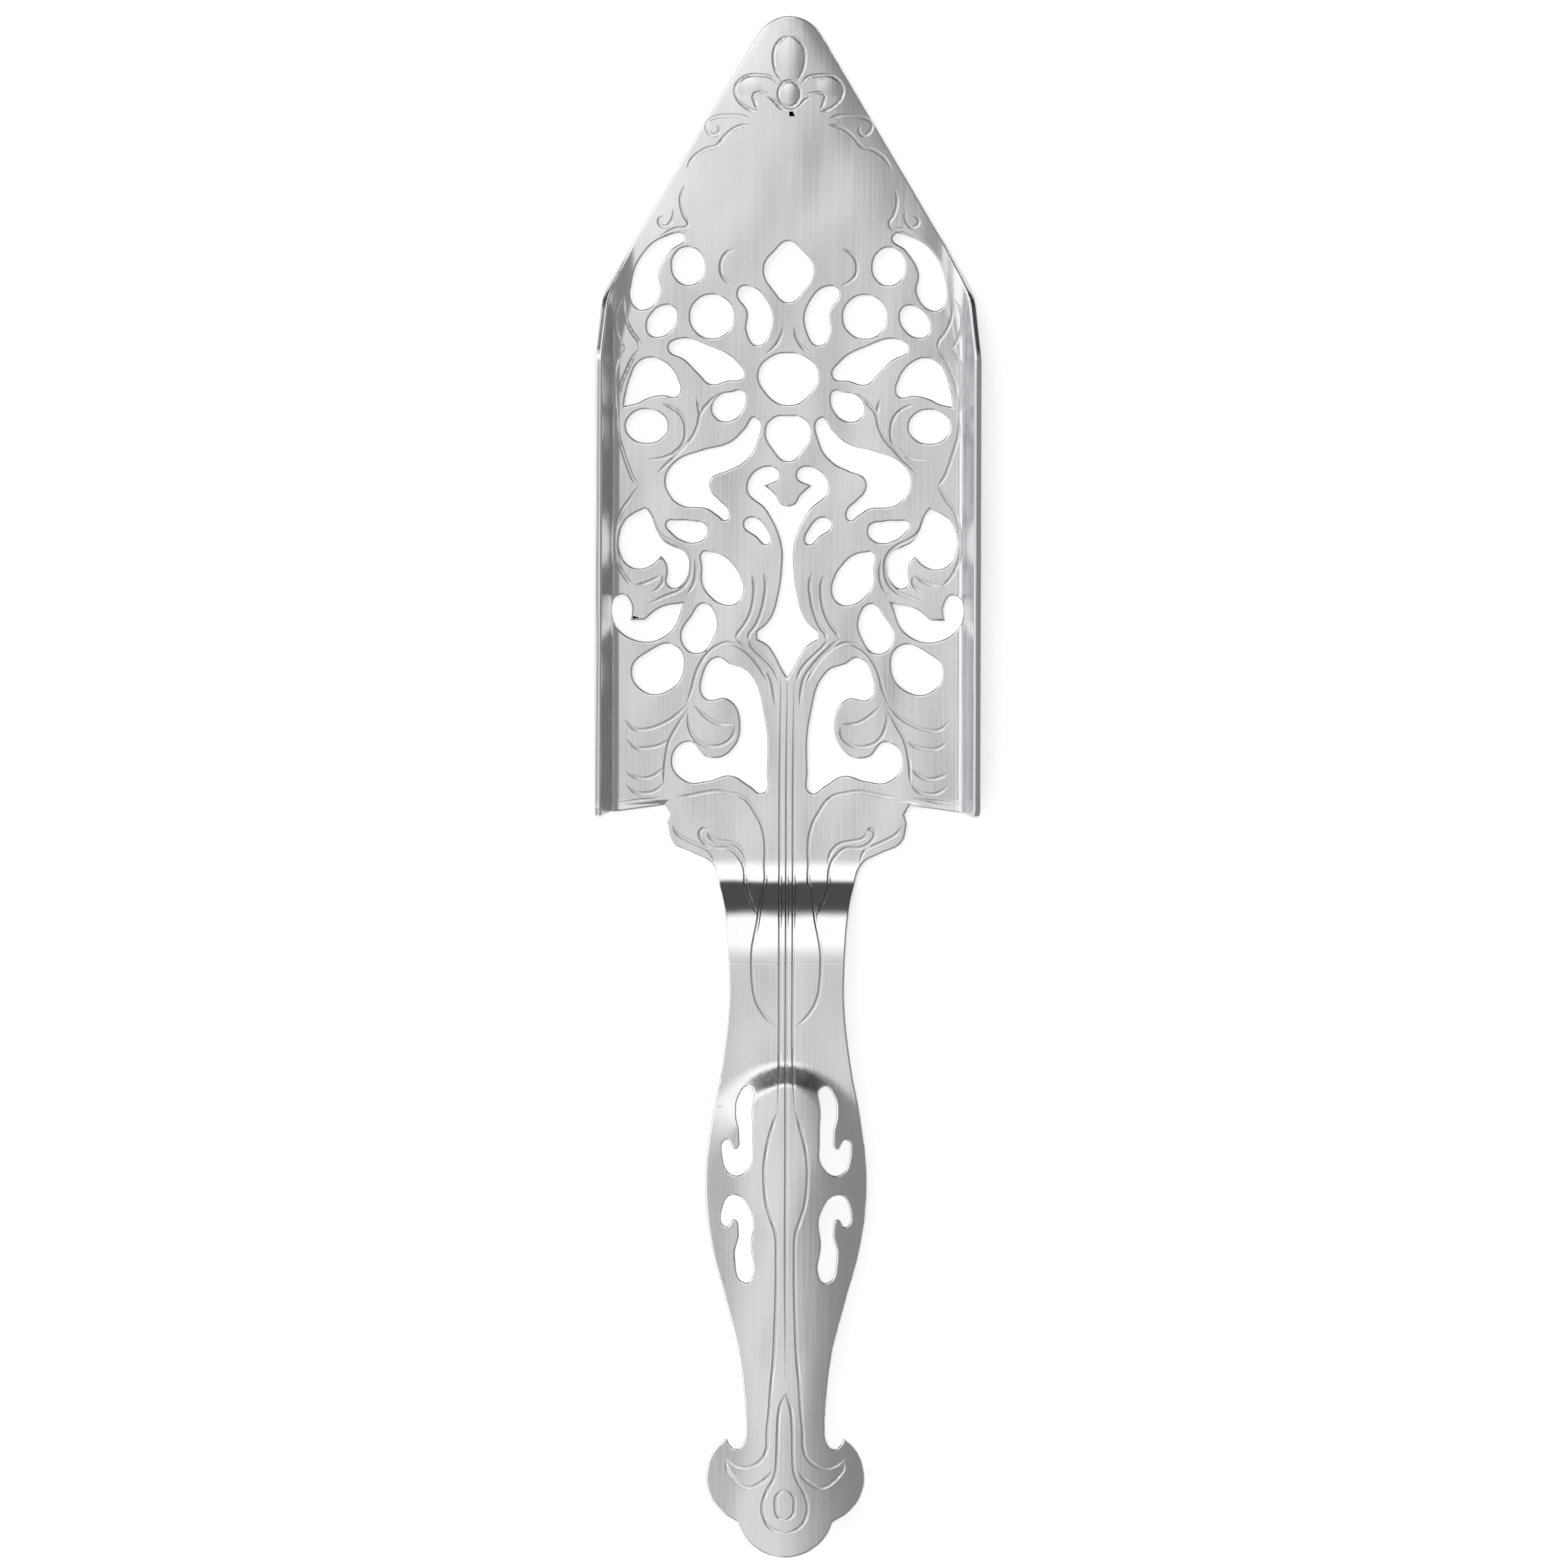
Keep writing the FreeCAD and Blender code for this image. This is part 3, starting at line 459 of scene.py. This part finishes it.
tip_arc = arc_points(TIP_Y - TIP_RADIUS, TIP_RADIUS, -tip_turn, tip_turn, 9)
end_arc = arc_points(END_ARC_RADIUS - TIP_Y, END_ARC_RADIUS,
                     math.pi - END_ARC_HALF, math.pi + END_ARC_HALF, 9)
SIDE_RUNS = [
    [tip_arc[-1], (16.7, 58.15)],
    [(16.7, 58.15), (17.7, 56.1), (18.85, 54.1), (19.6, 52.9), (20.0, 52.1)],
    [(20.0, 52.1), (rim_x - 0.35, 46.6)],
    [(rim_x - 0.35, 46.6), (rim_x - 0.08, 45.8), (rim_x, 44.8)],
    [(rim_x, 44.8), (rim_x, -2.4)],
    [(rim_x, -2.4), (rim_x - 0.3, -3.2), (rim_x - 1.0, -3.42)],
    [(rim_x - 1.0, -3.42), (17.3, -2.73), (SHOULDER_X, -2.15)],
    [(SHOULDER_X, -2.15), (12.6, -3.1)],
    [(12.6, -3.1), (12.9, -4.0)],
    [(12.9, -4.0), (12.3, -6.1), (10.0, -7.3), (8.1, -8.4), (7.2, -11.0), (6.55, -14.6), (6.25, -19.0)],
    [(6.25, -19.0), (6.2, -23.0), (6.9, -29.7), (8.1, -36.2), (8.7, -42.5), (8.05, -49.0), (6.4, -55.25),
     (4.95, -61.0), (4.23, -68.0)],
    [(4.23, -68.0), (4.5, -70.2), (5.2, -70.85), (5.83, -70.5), (6.25, -69.7)],
    [(6.25, -69.7), (7.6, -71.0), (8.4, -73.0), (8.2, -75.7), (6.76, -77.7), end_arc[0]],
]


# %% Curves from the drawing
CURVE_STEPS = 8


def flipped(points):
    """The same points on the left side, in the opposite order."""
    return [(-x, y) for x, y in reversed(points)]


def on_blank(point, already_flat=False):
    """A drawn point on the flat blank. The blade's sides are drawn on the flat blank already."""
    if already_flat and point[1] > -4.0:
        return point
    return unfold(*point)


def oval_points(centre_x, centre_y, half_length, half_width, turn, count=8):
    """Points round an oval."""
    lean = math.radians(turn)
    found = []
    for step in range(count):
        angle = math.tau * step / count
        ahead = half_length * math.cos(angle)
        aside = half_width * math.sin(angle)
        found.append((centre_x + ahead * math.cos(lean) - aside * math.sin(lean),
                      centre_y + ahead * math.sin(lean) + aside * math.cos(lean)))
    return found


def add_outline(curve, runs, already_flat=False):
    """Adds a closed outline: one smooth run, or runs that meet at corners."""
    cornered = len(runs) > 1 or runs[0][0] == runs[0][-1]
    knots = []
    for run in runs:
        kept = run[:-1] if cornered else run
        knots += [(point, cornered and index == 0) for index, point in enumerate(kept)]
    spline = curve.splines.new("BEZIER")
    spline.bezier_points.add(len(knots) - 1)
    for knot, (point, corner) in zip(spline.bezier_points, knots):
        knot.co = (*on_blank(point, already_flat), 0)
        knot.handle_left_type = knot.handle_right_type = "VECTOR" if corner else "AUTO"
    spline.use_cyclic_u = True
    spline.resolution_u = CURVE_STEPS


# %% [markdown]
# The blank could be cut from a plane with booleans. A 2D curve does it in one go: it fills its outline and
# leaves the inner outlines open, gives the sheet its thickness, and rounds every edge with its bevel. The
# rounding is the soft edge that the punch leaves, which catches the light round each opening. The filler can
# trip over corners that are mirrored at one height, so the drawing is turned a little while it is filled.

# %% The flat pierced blank
EDGE_ROUNDING = 0.25

drawing = bpy.data.curves.new("blank_drawing", "CURVE")
drawing.dimensions = "2D"
drawing.fill_mode = "BOTH"
drawing.extrude = SHEET / 2 - EDGE_ROUNDING
drawing.bevel_depth = EDGE_ROUNDING
drawing.bevel_resolution = 1
drawing.offset = -EDGE_ROUNDING

right_side = SIDE_RUNS
left_side = [flipped(run) for run in reversed(SIDE_RUNS)]
add_outline(drawing, [tip_arc] + right_side + [end_arc] + left_side, already_flat=True)
for points in SMOOTH_OPENINGS + [oval_points(*oval) for oval in OVALS]:
    add_outline(drawing, [points])
    add_outline(drawing, [flipped(points)])
for runs in CORNERED_OPENINGS:
    add_outline(drawing, runs)
    add_outline(drawing, [flipped(run) for run in reversed(runs)])
for points in MIDDLE_OPENINGS:
    add_outline(drawing, [points + flipped(points)[1:-1]])
add_outline(drawing, KEYHOLE + [flipped(run) for run in reversed(KEYHOLE)])


def filled_blank(turn):
    """The drawing as a mesh, filled while it is turned by an angle and then turned back."""
    turned = drawing.copy()
    turned.transform(Matrix.Rotation(turn, 4, "Z"))
    holder = bpy.data.objects.new("blank_drawing", turned)
    mesh = bpy.data.meshes.new_from_object(holder)
    bpy.data.objects.remove(holder)
    made = bmesh.new()
    made.from_mesh(mesh)
    bmesh.ops.remove_doubles(made, verts=made.verts, dist=0.0005)
    bmesh.ops.rotate(made, verts=made.verts, cent=(0, 0, 0), matrix=Matrix.Rotation(-turn, 3, "Z"))
    bmesh.ops.translate(made, verts=made.verts, vec=(0, 0, SHEET / 2))
    bmesh.ops.recalc_face_normals(made, faces=made.faces)
    return made


for degrees in range(3, 60, 4):
    blank = filled_blank(math.radians(degrees))
    open_edges = [edge for edge in blank.edges if len(edge.link_faces) != 2]
    print("turned", degrees, "degrees:", len(blank.faces), "faces and", len(open_edges), "open edges")
    if not open_edges:
        break
    blank.free()

# %% [markdown]
# The engraving. The die presses fine lines into the sheet: a fleur-de-lis on the tip, scrolls and leaves round
# the openings and long curves down the handle. A bump pattern would follow no drawing, so each line is a thin
# round rod whose ends taper out, laid into the top face and cut away. The lines follow smooth curves
# through a few points, and the left side mirrors the right. The rods lie higher than the face, so that only
# their lowest part cuts it and the lines stay shallow.

# %% Engraved lines of the tip and the upper blade
TIP_LINES = [
    [(0.8, 75.4), (1.45, 76.6), (1.7, 78.0), (1.5, 79.1), (0.9, 79.9), (0.0, 80.35)],
    [(2.4, 73.85), (1.6, 73.35), (1.0, 72.7), (0.0, 72.25)],
    [(1.2, 75.1), (2.0, 75.9), (3.0, 76.1), (4.2, 76.1), (5.1, 75.7), (5.75, 74.8), (5.6, 73.7), (4.8, 72.8),
     (4.0, 72.35), (3.3, 72.25)],
    [(1.8, 74.15), (3.5, 74.2), (3.8, 74.0), (3.7, 73.2), (3.3, 72.3)],
    [(4.2, 71.4), (5.0, 71.7), (6.5, 71.8), (8.0, 71.6), (8.8, 71.1), (8.8, 70.3), (8.1, 69.7), (7.5, 70.1),
     (7.7, 70.8)],
    [(4.2, 70.8), (5.0, 70.7), (6.0, 70.3), (7.0, 69.4), (7.8, 68.5), (8.6, 68.3), (9.6, 67.8), (10.4, 67.1),
     (11.0, 66.0)],
]
UPPER_LINES = [
    [(11.2, 64.3), (11.6, 62.9), (11.3, 61.2), (10.8, 60.0), (12.3, 59.6), (13.9, 58.8)],
    [(12.4, 61.7), (12.55, 60.5), (13.35, 59.85), (13.95, 60.5), (13.3, 61.1)],
    [(5.8, 57.5), (6.6, 57.1), (7.2, 56.2), (7.3, 55.2), (6.9, 54.3), (5.6, 53.5)],
    [(17.6, 52.4), (18.4, 50.9), (18.55, 49.5), (18.2, 48.0), (17.5, 46.75)],
    [(17.5, 46.75), (18.3, 45.5), (18.6, 44.0), (18.6, 42.4), (18.5, 40.9), (18.3, 39.8)],
    [(17.6, 52.35), (17.6, 50.9), (17.3, 49.6), (16.7, 48.4), (16.1, 47.6), (16.0, 46.8)],
    [(16.0, 46.8), (16.8, 45.6), (17.4, 44.3), (17.95, 42.9), (18.15, 41.4)],
    [(0.6, 49.2), (0.8, 48.2), (1.5, 47.0), (2.4, 46.3)],
    [(7.5, 42.0), (8.5, 41.0), (9.4, 39.8), (9.7, 38.5), (10.4, 37.1), (11.2, 36.2), (12.2, 35.1),
     (13.2, 34.2), (14.0, 33.4)],
    [(13.5, 40.9), (12.5, 40.5), (11.5, 39.7), (11.0, 38.2), (11.2, 36.8), (12.0, 35.8), (13.0, 35.2),
     (15.1, 34.9)],
    [(9.9, 41.6), (9.6, 40.5), (9.55, 39.5)],
    [(18.3, 39.8), (18.2, 37.5), (17.7, 35.7), (17.2, 34.2), (16.6, 32.8), (16.0, 32.15)],
    [(16.0, 32.15), (16.9, 30.7), (17.8, 29.4), (18.3, 27.8), (18.5, 26.3), (18.4, 24.5), (17.9, 23.1),
     (17.2, 22.0), (16.5, 21.4)],
]

# %% Engraved lines of the lower blade
LOWER_LINES = [
    [(14.9, 29.6), (14.5, 28.4), (13.9, 27.1), (13.2, 26.5), (11.5, 25.6), (10.6, 24.6), (10.4, 23.0),
     (10.8, 21.7), (11.7, 20.8), (13.0, 20.3), (15.0, 19.4)],
    [(10.0, 24.3), (9.85, 22.8), (10.2, 21.3), (10.9, 20.4)],
    [(16.3, 21.5), (15.5, 21.6), (14.4, 22.0), (13.55, 22.6)],
    [(13.5, 22.5), (13.35, 21.9), (13.8, 21.2), (14.5, 20.7)],
    [(2.6, 22.8), (2.35, 21.7), (2.45, 20.3), (2.85, 18.5), (3.5, 17.0), (4.1, 16.2), (4.2, 15.6)],
    [(4.2, 15.6), (3.9, 15.0), (3.0, 14.1), (2.0, 13.1), (1.35, 12.2), (0.95, 11.2)],
    [(3.85, 22.6), (3.6, 21.6), (3.6, 20.4), (3.95, 18.6), (4.5, 17.4), (5.3, 16.3), (5.6, 15.75)],
    [(5.6, 15.75), (4.7, 15.0), (3.75, 14.1), (2.7, 12.9), (1.8, 11.5), (1.45, 9.9), (1.3, 8.5)],
    [(2.05, 11.1), (2.6, 12.1), (3.5, 13.4), (4.5, 14.4), (5.4, 15.0), (6.4, 15.3), (7.4, 15.0), (8.5, 14.2),
     (9.3, 13.1), (9.85, 11.8), (10.2, 10.4), (10.8, 8.8)],
    [(10.8, 8.6), (12.0, 7.4), (13.5, 6.5), (15.0, 6.0), (16.3, 6.0), (17.4, 7.0)],
    [(12.6, 5.0), (13.6, 4.3), (15.0, 4.0), (16.1, 4.0), (17.2, 4.9)],
    [(13.2, 2.0), (14.0, 1.2), (15.0, 0.75), (16.3, 0.9), (17.3, 1.4)],
    [(13.2, 0.3), (14.0, -0.55), (15.0, -0.85), (16.2, -0.75), (17.3, 0.1)],
    [(10.7, 8.1), (11.8, 6.3), (12.6, 4.8), (13.0, 3.0), (13.15, 1.5), (13.2, 0.2)],
    [(5.8, 6.6), (7.0, 6.6), (8.0, 6.9), (9.0, 7.6), (10.0, 8.6)],
    [(5.7, 6.4), (5.8, 5.4), (6.5, 4.6), (7.5, 4.2), (8.8, 4.3), (9.8, 4.9), (10.5, 6.2), (10.7, 7.9)],
    [(13.4, -1.3), (16.0, -1.65), (18.8, -1.9)],
]

# %% Engraved lines of the neck and the handle
NECK_LINES = [
    [(11.7, -1.2), (10.5, -1.1), (9.0, -0.8), (7.5, -0.6), (6.3, -0.8), (5.0, -1.1), (4.2, -1.7), (3.4, -2.9),
     (2.8, -4.0), (2.4, -5.5), (2.3, -7.0), (2.35, -8.5), (2.3, -10.0), (2.6, -11.5), (2.9, -13.0),
     (3.1, -14.5), (3.4, -16.0), (3.65, -17.5), (3.7, -19.0), (3.6, -21.0), (3.3, -22.8), (2.3, -24.6),
     (1.0, -25.8)],
    [(8.5, -4.95), (8.9, -4.65), (9.35, -5.0), (9.1, -5.85), (7.85, -6.65), (6.2, -6.75), (5.2, -7.6),
     (4.65, -8.6), (4.4, -10.8), (3.9, -12.3), (3.15, -13.85)],
    [(8.5, -4.95), (8.2, -5.6), (7.0, -5.95), (5.65, -6.25), (4.75, -7.1), (4.3, -8.4)],
    [(12.3, -4.3), (11.8, -5.1), (10.3, -6.0), (9.0, -6.6), (8.3, -7.0), (7.8, -8.2)],
]
HANDLE_LINES = [
    [(0.95, -34.8), (1.5, -36.5), (2.0, -38.5), (2.3, -40.5), (2.3, -42.5), (2.1, -44.5), (1.6, -46.3),
     (1.1, -47.8), (0.97, -51.0), (1.0, -55.0), (1.1, -58.0), (1.25, -61.5), (1.5, -64.0), (1.7, -67.0),
     (1.9, -69.0), (2.0, -71.0), (2.5, -72.0), (3.2, -72.6), (4.2, -72.9), (5.2, -72.7), (6.4, -71.9)],
    [(6.3, -72.3), (6.2, -73.0), (5.5, -74.0), (4.5, -74.8), (3.7, -75.0), (2.8, -74.6), (2.0, -74.0),
     (1.4, -73.2)],
    [(0.0, -65.0), (0.5, -66.2), (0.8, -69.0), (0.85, -71.5), (1.1, -73.8), (1.9, -75.3), (2.4, -76.8),
     (2.2, -78.3), (1.5, -79.3), (0.0, -79.9)],
    [(0.0, -75.1), (0.9, -75.9), (1.0, -77.0), (0.8, -78.0), (0.0, -78.5)],
    [(0.7, 11.2), (0.72, 0.0), (0.72, -8.0), (0.72, -14.0), (0.72, -20.0), (0.74, -30.0), (0.9, -34.6)],
]
MIDDLE_LINES = [
    [(0.0, 11.2), (0.0, 0.0), (0.0, -8.0), (0.0, -14.0), (0.0, -20.0), (0.0, -34.0), (0.0, -50.0),
     (0.0, -63.5)],
]
BEAD = oval_points(0, 74.1, 1.15, 1.38, 0, count=12)
CREASE_LINE = [(-6.0, -19.0), (6.0, -19.0)]

# %% Cut the lines into the top face
ROD_RADIUS = 0.32
ROD_LIFT = 0.2
ROD_STEPS = 5
END_TAPER = 0.7


def rod_cutter(lines, closed=False):
    """A mesh of thin rods that follow the lines, standing just above the sheet."""
    curve = bpy.data.curves.new("rods", "CURVE")
    curve.dimensions = "3D"
    curve.bevel_depth = ROD_RADIUS
    curve.bevel_resolution = 2
    curve.use_fill_caps = True
    for line in lines:
        spline = curve.splines.new("BEZIER")
        spline.bezier_points.add(len(line) - 1)
        for index, (knot, point) in enumerate(zip(spline.bezier_points, line)):
            knot.co = (*on_blank(point), SHEET + ROD_LIFT)
            knot.handle_left_type = knot.handle_right_type = "AUTO"
            at_end = index in (0, len(line) - 1) and not closed
            knot.radius = END_TAPER if at_end else 1.0
        spline.use_cyclic_u = closed
        spline.resolution_u = ROD_STEPS
    rods_object = bpy.data.objects.new("rods", curve)
    mesh = bpy.data.meshes.new_from_object(rods_object)
    bpy.data.objects.remove(rods_object)
    cleaned = bmesh.new()
    cleaned.from_mesh(mesh)
    bmesh.ops.remove_doubles(cleaned, verts=cleaned.verts, dist=0.0005)
    bmesh.ops.recalc_face_normals(cleaned, faces=cleaned.faces)
    for face in cleaned.faces:
        face.material_index = 1
    cleaned.to_mesh(mesh)
    cleaned.free()
    return mesh


def cut_rods(target, lines, closed=False):
    """Cuts one line, or a mirrored pair, out of the sheet."""
    cutter = bpy.data.objects.new("cutter", rod_cutter(lines, closed))
    for material in target.data.materials:
        cutter.data.materials.append(material)
    bpy.context.scene.collection.objects.link(cutter)
    boolean = target.modifiers.new("cut", "BOOLEAN")
    boolean.operation = "DIFFERENCE"
    boolean.solver = "MANIFOLD"
    boolean.object = cutter
    depsgraph = bpy.context.evaluated_depsgraph_get()
    result = bpy.data.meshes.new_from_object(target.evaluated_get(depsgraph))
    target.modifiers.clear()
    target.data = result
    bpy.data.objects.remove(cutter)


steel, steel_tree, steel_output = new_material("brushed_steel")
groove_steel, groove_tree, groove_output = new_material("engraved_steel")
edge_steel, edge_tree, edge_output = new_material("tumbled_edge_steel")

sheet_mesh = bpy.data.meshes.new("sheet")
blank.to_mesh(sheet_mesh)
blank.free()
sheet = bpy.data.objects.new("stamped_sheet", sheet_mesh)
sheet.data.materials.append(steel)
sheet.data.materials.append(groove_steel)
bpy.context.scene.collection.objects.link(sheet)

for line in TIP_LINES + UPPER_LINES + LOWER_LINES + NECK_LINES + HANDLE_LINES:
    cut_rods(sheet, [line, flipped(line)])
cut_rods(sheet, MIDDLE_LINES)
cut_rods(sheet, [CREASE_LINE])
cut_rods(sheet, [BEAD], closed=True)
print("the engraved sheet has", len(sheet.data.polygons), "faces")

# %% [markdown]
# A flat face with long thin triangles can't bend. Planes cut it into narrow strips wherever the sheet will
# curve: across the neck, along the walls and all over the crowned handle. The strips are as narrow as the
# curve is tight.

# %% Strips where the sheet bends
bent = bmesh.new()
bent.from_mesh(sheet.data)
bmesh.ops.remove_doubles(bent, verts=bent.verts, dist=0.0005)


def slice_sheet(axis, places, keep):
    """Cuts the faces that keep() accepts with planes across an axis."""
    normal = Vector((0, 0, 0))
    normal[axis] = 1.0
    for place in places:
        faces = [face for face in bent.faces if keep(face, place)]
        edges = {edge for face in faces for edge in face.edges}
        verts = {vert for face in faces for vert in face.verts}
        bmesh.ops.bisect_plane(bent, geom=list(verts) + list(edges) + faces, plane_co=normal * place,
                               plane_no=normal, dist=0.0005)


def spans(face, axis, place):
    """Whether a face lies on both sides of a plane."""
    values = [vert.co[axis] for vert in face.verts]
    return min(values) < place < max(values)


def steps_between(start, end, count):
    """Evenly spaced places from start to end."""
    return [start + (end - start) * step / count for step in range(count + 1)]


def reach(face):
    """The lowest and the highest place along that a face reaches."""
    values = [vert.co.y for vert in face.verts]
    return min(values), max(values)


handle_flat_start = CROWN_FRONT + 0.6 - neck_slack
neck_flat_end = NECK_START - neck_run
slice_sheet(1, steps_between(NECK_START, neck_flat_end, 26), lambda face, place: spans(face, 1, place))
slice_sheet(1, steps_between(handle_flat_start, handle_flat_start - 9.6, 32),
            lambda face, place: spans(face, 1, place))
slice_sheet(1, steps_between(TIP_CROWN_START, TIP_Y - 1.7, 17), lambda face, place: spans(face, 1, place))
slice_sheet(1, [LIP_START], lambda face, place: spans(face, 1, place))
slice_sheet(0, [-SHOULDER_X, SHOULDER_X], lambda face, place: spans(face, 0, place) and reach(face)[1] < 3.0)
bend_places = steps_between(floor_edge, floor_edge + bend_length, 8)
front_places = steps_between(16.2, floor_edge, 6) + steps_between(floor_edge + bend_length, 20.6, 4)
for side in (-1, 1):
    slice_sheet(0, [side * place for place in bend_places], lambda face, place: spans(face, 0, place))
    slice_sheet(0, [side * place for place in front_places],
                lambda face, place: spans(face, 0, place) and reach(face)[0] > TIP_CROWN_START - 0.01)
slice_sheet(0, [0.7 * step for step in range(-12, 13)],
            lambda face, place: spans(face, 0, place) and reach(face)[1] < handle_flat_start + 0.01)
slice_sheet(0, [1.2 * step for step in range(-13, 14)],
            lambda face, place: spans(face, 0, place) and reach(face)[0] > TIP_CROWN_START - 0.01)


def under_lily(face):
    """Whether a face lies where the lily is domed."""
    centre = face.calc_center_median()
    return abs(centre.x) < LILY_HALF and LILY_FOOT < centre.y < LILY_TOP


slice_sheet(1, [LILY_FOOT + LILY_STEP * step for step in range(20)],
            lambda face, place: spans(face, 1, place) and under_lily(face))
slice_sheet(0, [LILY_STEP * step for step in range(-15, 16)],
            lambda face, place: spans(face, 0, place) and under_lily(face))
print("the sliced sheet has", len(bent.faces), "faces")

# %% [markdown]
# The fold moves every corner of the mesh, and then each corner gets its normal. Left alone, Blender would
# blend the flat face's normal with the rounded edge's and shade long smears over the flats. So the flat
# faces take the normal of the folded surface itself, the rounded edges start from it, and only the grooves
# average their own faces.

# %% Fold the sheet
FLAT, ROUNDED, GROOVE = 0, 1, 2
flat_place = {vert: vert.co.copy() for vert in bent.verts}
bent.normal_update()
kind_of = {}
for face in bent.faces:
    if face.material_index == 1:
        kind_of[face] = GROOVE
    else:
        kind_of[face] = FLAT if abs(face.normal.z) > 0.999 else ROUNDED
lower_face = {face: face.normal.z < 0 for face in bent.faces}
for vert in bent.verts:
    vert.co = fold(flat_place[vert])
bent.normal_update()


def sheet_normal(place):
    """The folded sheet's upward normal over a place on the flat blank."""
    small = 0.02
    aside = Vector((small, 0, 0))
    ahead = Vector((0, small, 0))
    across = fold(place + aside) - fold(place - aside)
    along = fold(place + ahead) - fold(place - ahead)
    return across.cross(along).normalized()


surface_normal = {}
for vert in bent.verts:
    flat_faces = [face for face in vert.link_faces if kind_of[face] == FLAT]
    if flat_faces:
        upward = sheet_normal(flat_place[vert])
        surface_normal[vert] = -upward if lower_face[flat_faces[0]] else upward


def corner_normal(face, vert):
    """The normal of one face at one of its corners."""
    kind = kind_of[face]
    if kind != GROOVE and vert in surface_normal:
        return surface_normal[vert]
    total = Vector((0, 0, 0))
    for near in vert.link_faces:
        if kind_of[near] == kind:
            total += near.normal * near.calc_area()
    return total.normalized() if total.length > 0 else face.normal


normals = [corner_normal(face, vert) for face in bent.faces for vert in face.verts]
for face in bent.faces:
    face.smooth = True
    if kind_of[face] == ROUNDED:
        face.material_index = 2
bmesh.ops.scale(bent, vec=(MM, MM, MM), verts=bent.verts)
spoon_mesh = bpy.data.meshes.new("spoon_sheet")
bent.to_mesh(spoon_mesh)
bent.free()
spoon_mesh.normals_split_custom_set([tuple(normal) for normal in normals])
spoon_mesh.materials.append(steel)
spoon_mesh.materials.append(groove_steel)
spoon_mesh.materials.append(edge_steel)
sheet.data = spoon_mesh
spoon_mesh.calc_loop_triangles()
print("the spoon has", len(spoon_mesh.loop_triangles), "triangles")

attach(sheet, "root")
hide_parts("spoon")

# %% [markdown]
# The steel. The flat faces are brushed along the spoon, so fine streaks run from the tip to the end, and the
# rolled sheet is never quite flat, so its reflections drift in soft clouds. Both could be painted as colour,
# but a real brushed face has one colour and many slopes. So they are bumps: a noise that is stretched along
# the spoon, a wider one for the clouds, and a roughness that the brush leaves uneven. The neck is bent round a
# polished tool, which rubs the streaks away there. The grooves are as the die left them, without streaks, and
# the edges were tumbled smooth.

# %% Steel finishes
STEEL_COLOUR = (0.605, 0.615, 0.628, 1)
STREAKS_ACROSS = 2400.0
STREAKS_ALONG = 80.0
STREAK_HEIGHT = 0.011 * MM
CLOUDS_ACROSS = 115.0
CLOUDS_ALONG = 70.0
CLOUD_HEIGHT = 0.45 * MM


def noise_node(tree, place, across, along, detail):
    """A noise whose grain is set by how many waves there are in a metre, across and along the spoon."""
    stretch = add_node(tree, "ShaderNodeMapping", {0: place, "Scale": (across, along, across)})
    return add_node(tree, "ShaderNodeTexNoise", {"Vector": stretch.outputs[0], "Scale": 1.0,
                                                 "Detail": detail})


def steel_finish(tree, output, roughness, unevenness, streak_height):
    """Steel with streaks along the spoon, soft clouds and an uneven roughness."""
    place = add_node(tree, "ShaderNodeTexCoord").outputs["Object"]
    streaks = noise_node(tree, place, STREAKS_ACROSS, STREAKS_ALONG, 3.0)
    clouds = noise_node(tree, place, CLOUDS_ACROSS, CLOUDS_ALONG, 1.0)
    along_spoon = add_node(tree, "ShaderNodeSeparateXYZ", {0: place}).outputs[1]
    from_neck = math_node(tree, "ABSOLUTE", math_node(tree, "ADD", along_spoon, 13.5 * MM))
    brushed = add_node(tree, "ShaderNodeMapRange", {0: from_neck, 1: 4.5 * MM, 2: 7.0 * MM, 3: 0.25, 4: 1.0},
                       interpolation_type="SMOOTHSTEP").outputs[0]
    cloud_bump = add_node(tree, "ShaderNodeBump", {"Height": clouds.outputs[0], "Distance": CLOUD_HEIGHT})
    streak_bump = add_node(tree, "ShaderNodeBump", {"Height": streaks.outputs[0], "Distance": streak_height,
                                                    "Strength": brushed, "Normal": cloud_bump.outputs[0]})
    rough = math_node(tree, "MULTIPLY_ADD", streaks.outputs[0], unevenness)
    rough.node.inputs[2].default_value = roughness - unevenness / 2
    rough = math_node(tree, "MULTIPLY", rough, math_node(tree, "POWER", brushed, 0.5))
    shader = add_node(tree, "ShaderNodeBsdfPrincipled", {"Base Color": STEEL_COLOUR, "Metallic": 1.0,
                                                         "Roughness": rough, "Normal": streak_bump.outputs[0]})
    tree.links.new(shader.outputs[0], output.inputs["Surface"])


steel_finish(steel_tree, steel_output, 0.27, 0.12, STREAK_HEIGHT)
steel_finish(groove_tree, groove_output, 0.34, 0.1, 0.3 * STREAK_HEIGHT)
steel_finish(edge_tree, edge_output, 0.2, 0.06, 0.2 * STREAK_HEIGHT)
print("steel finishes:", [material.name for material in spoon_mesh.materials])
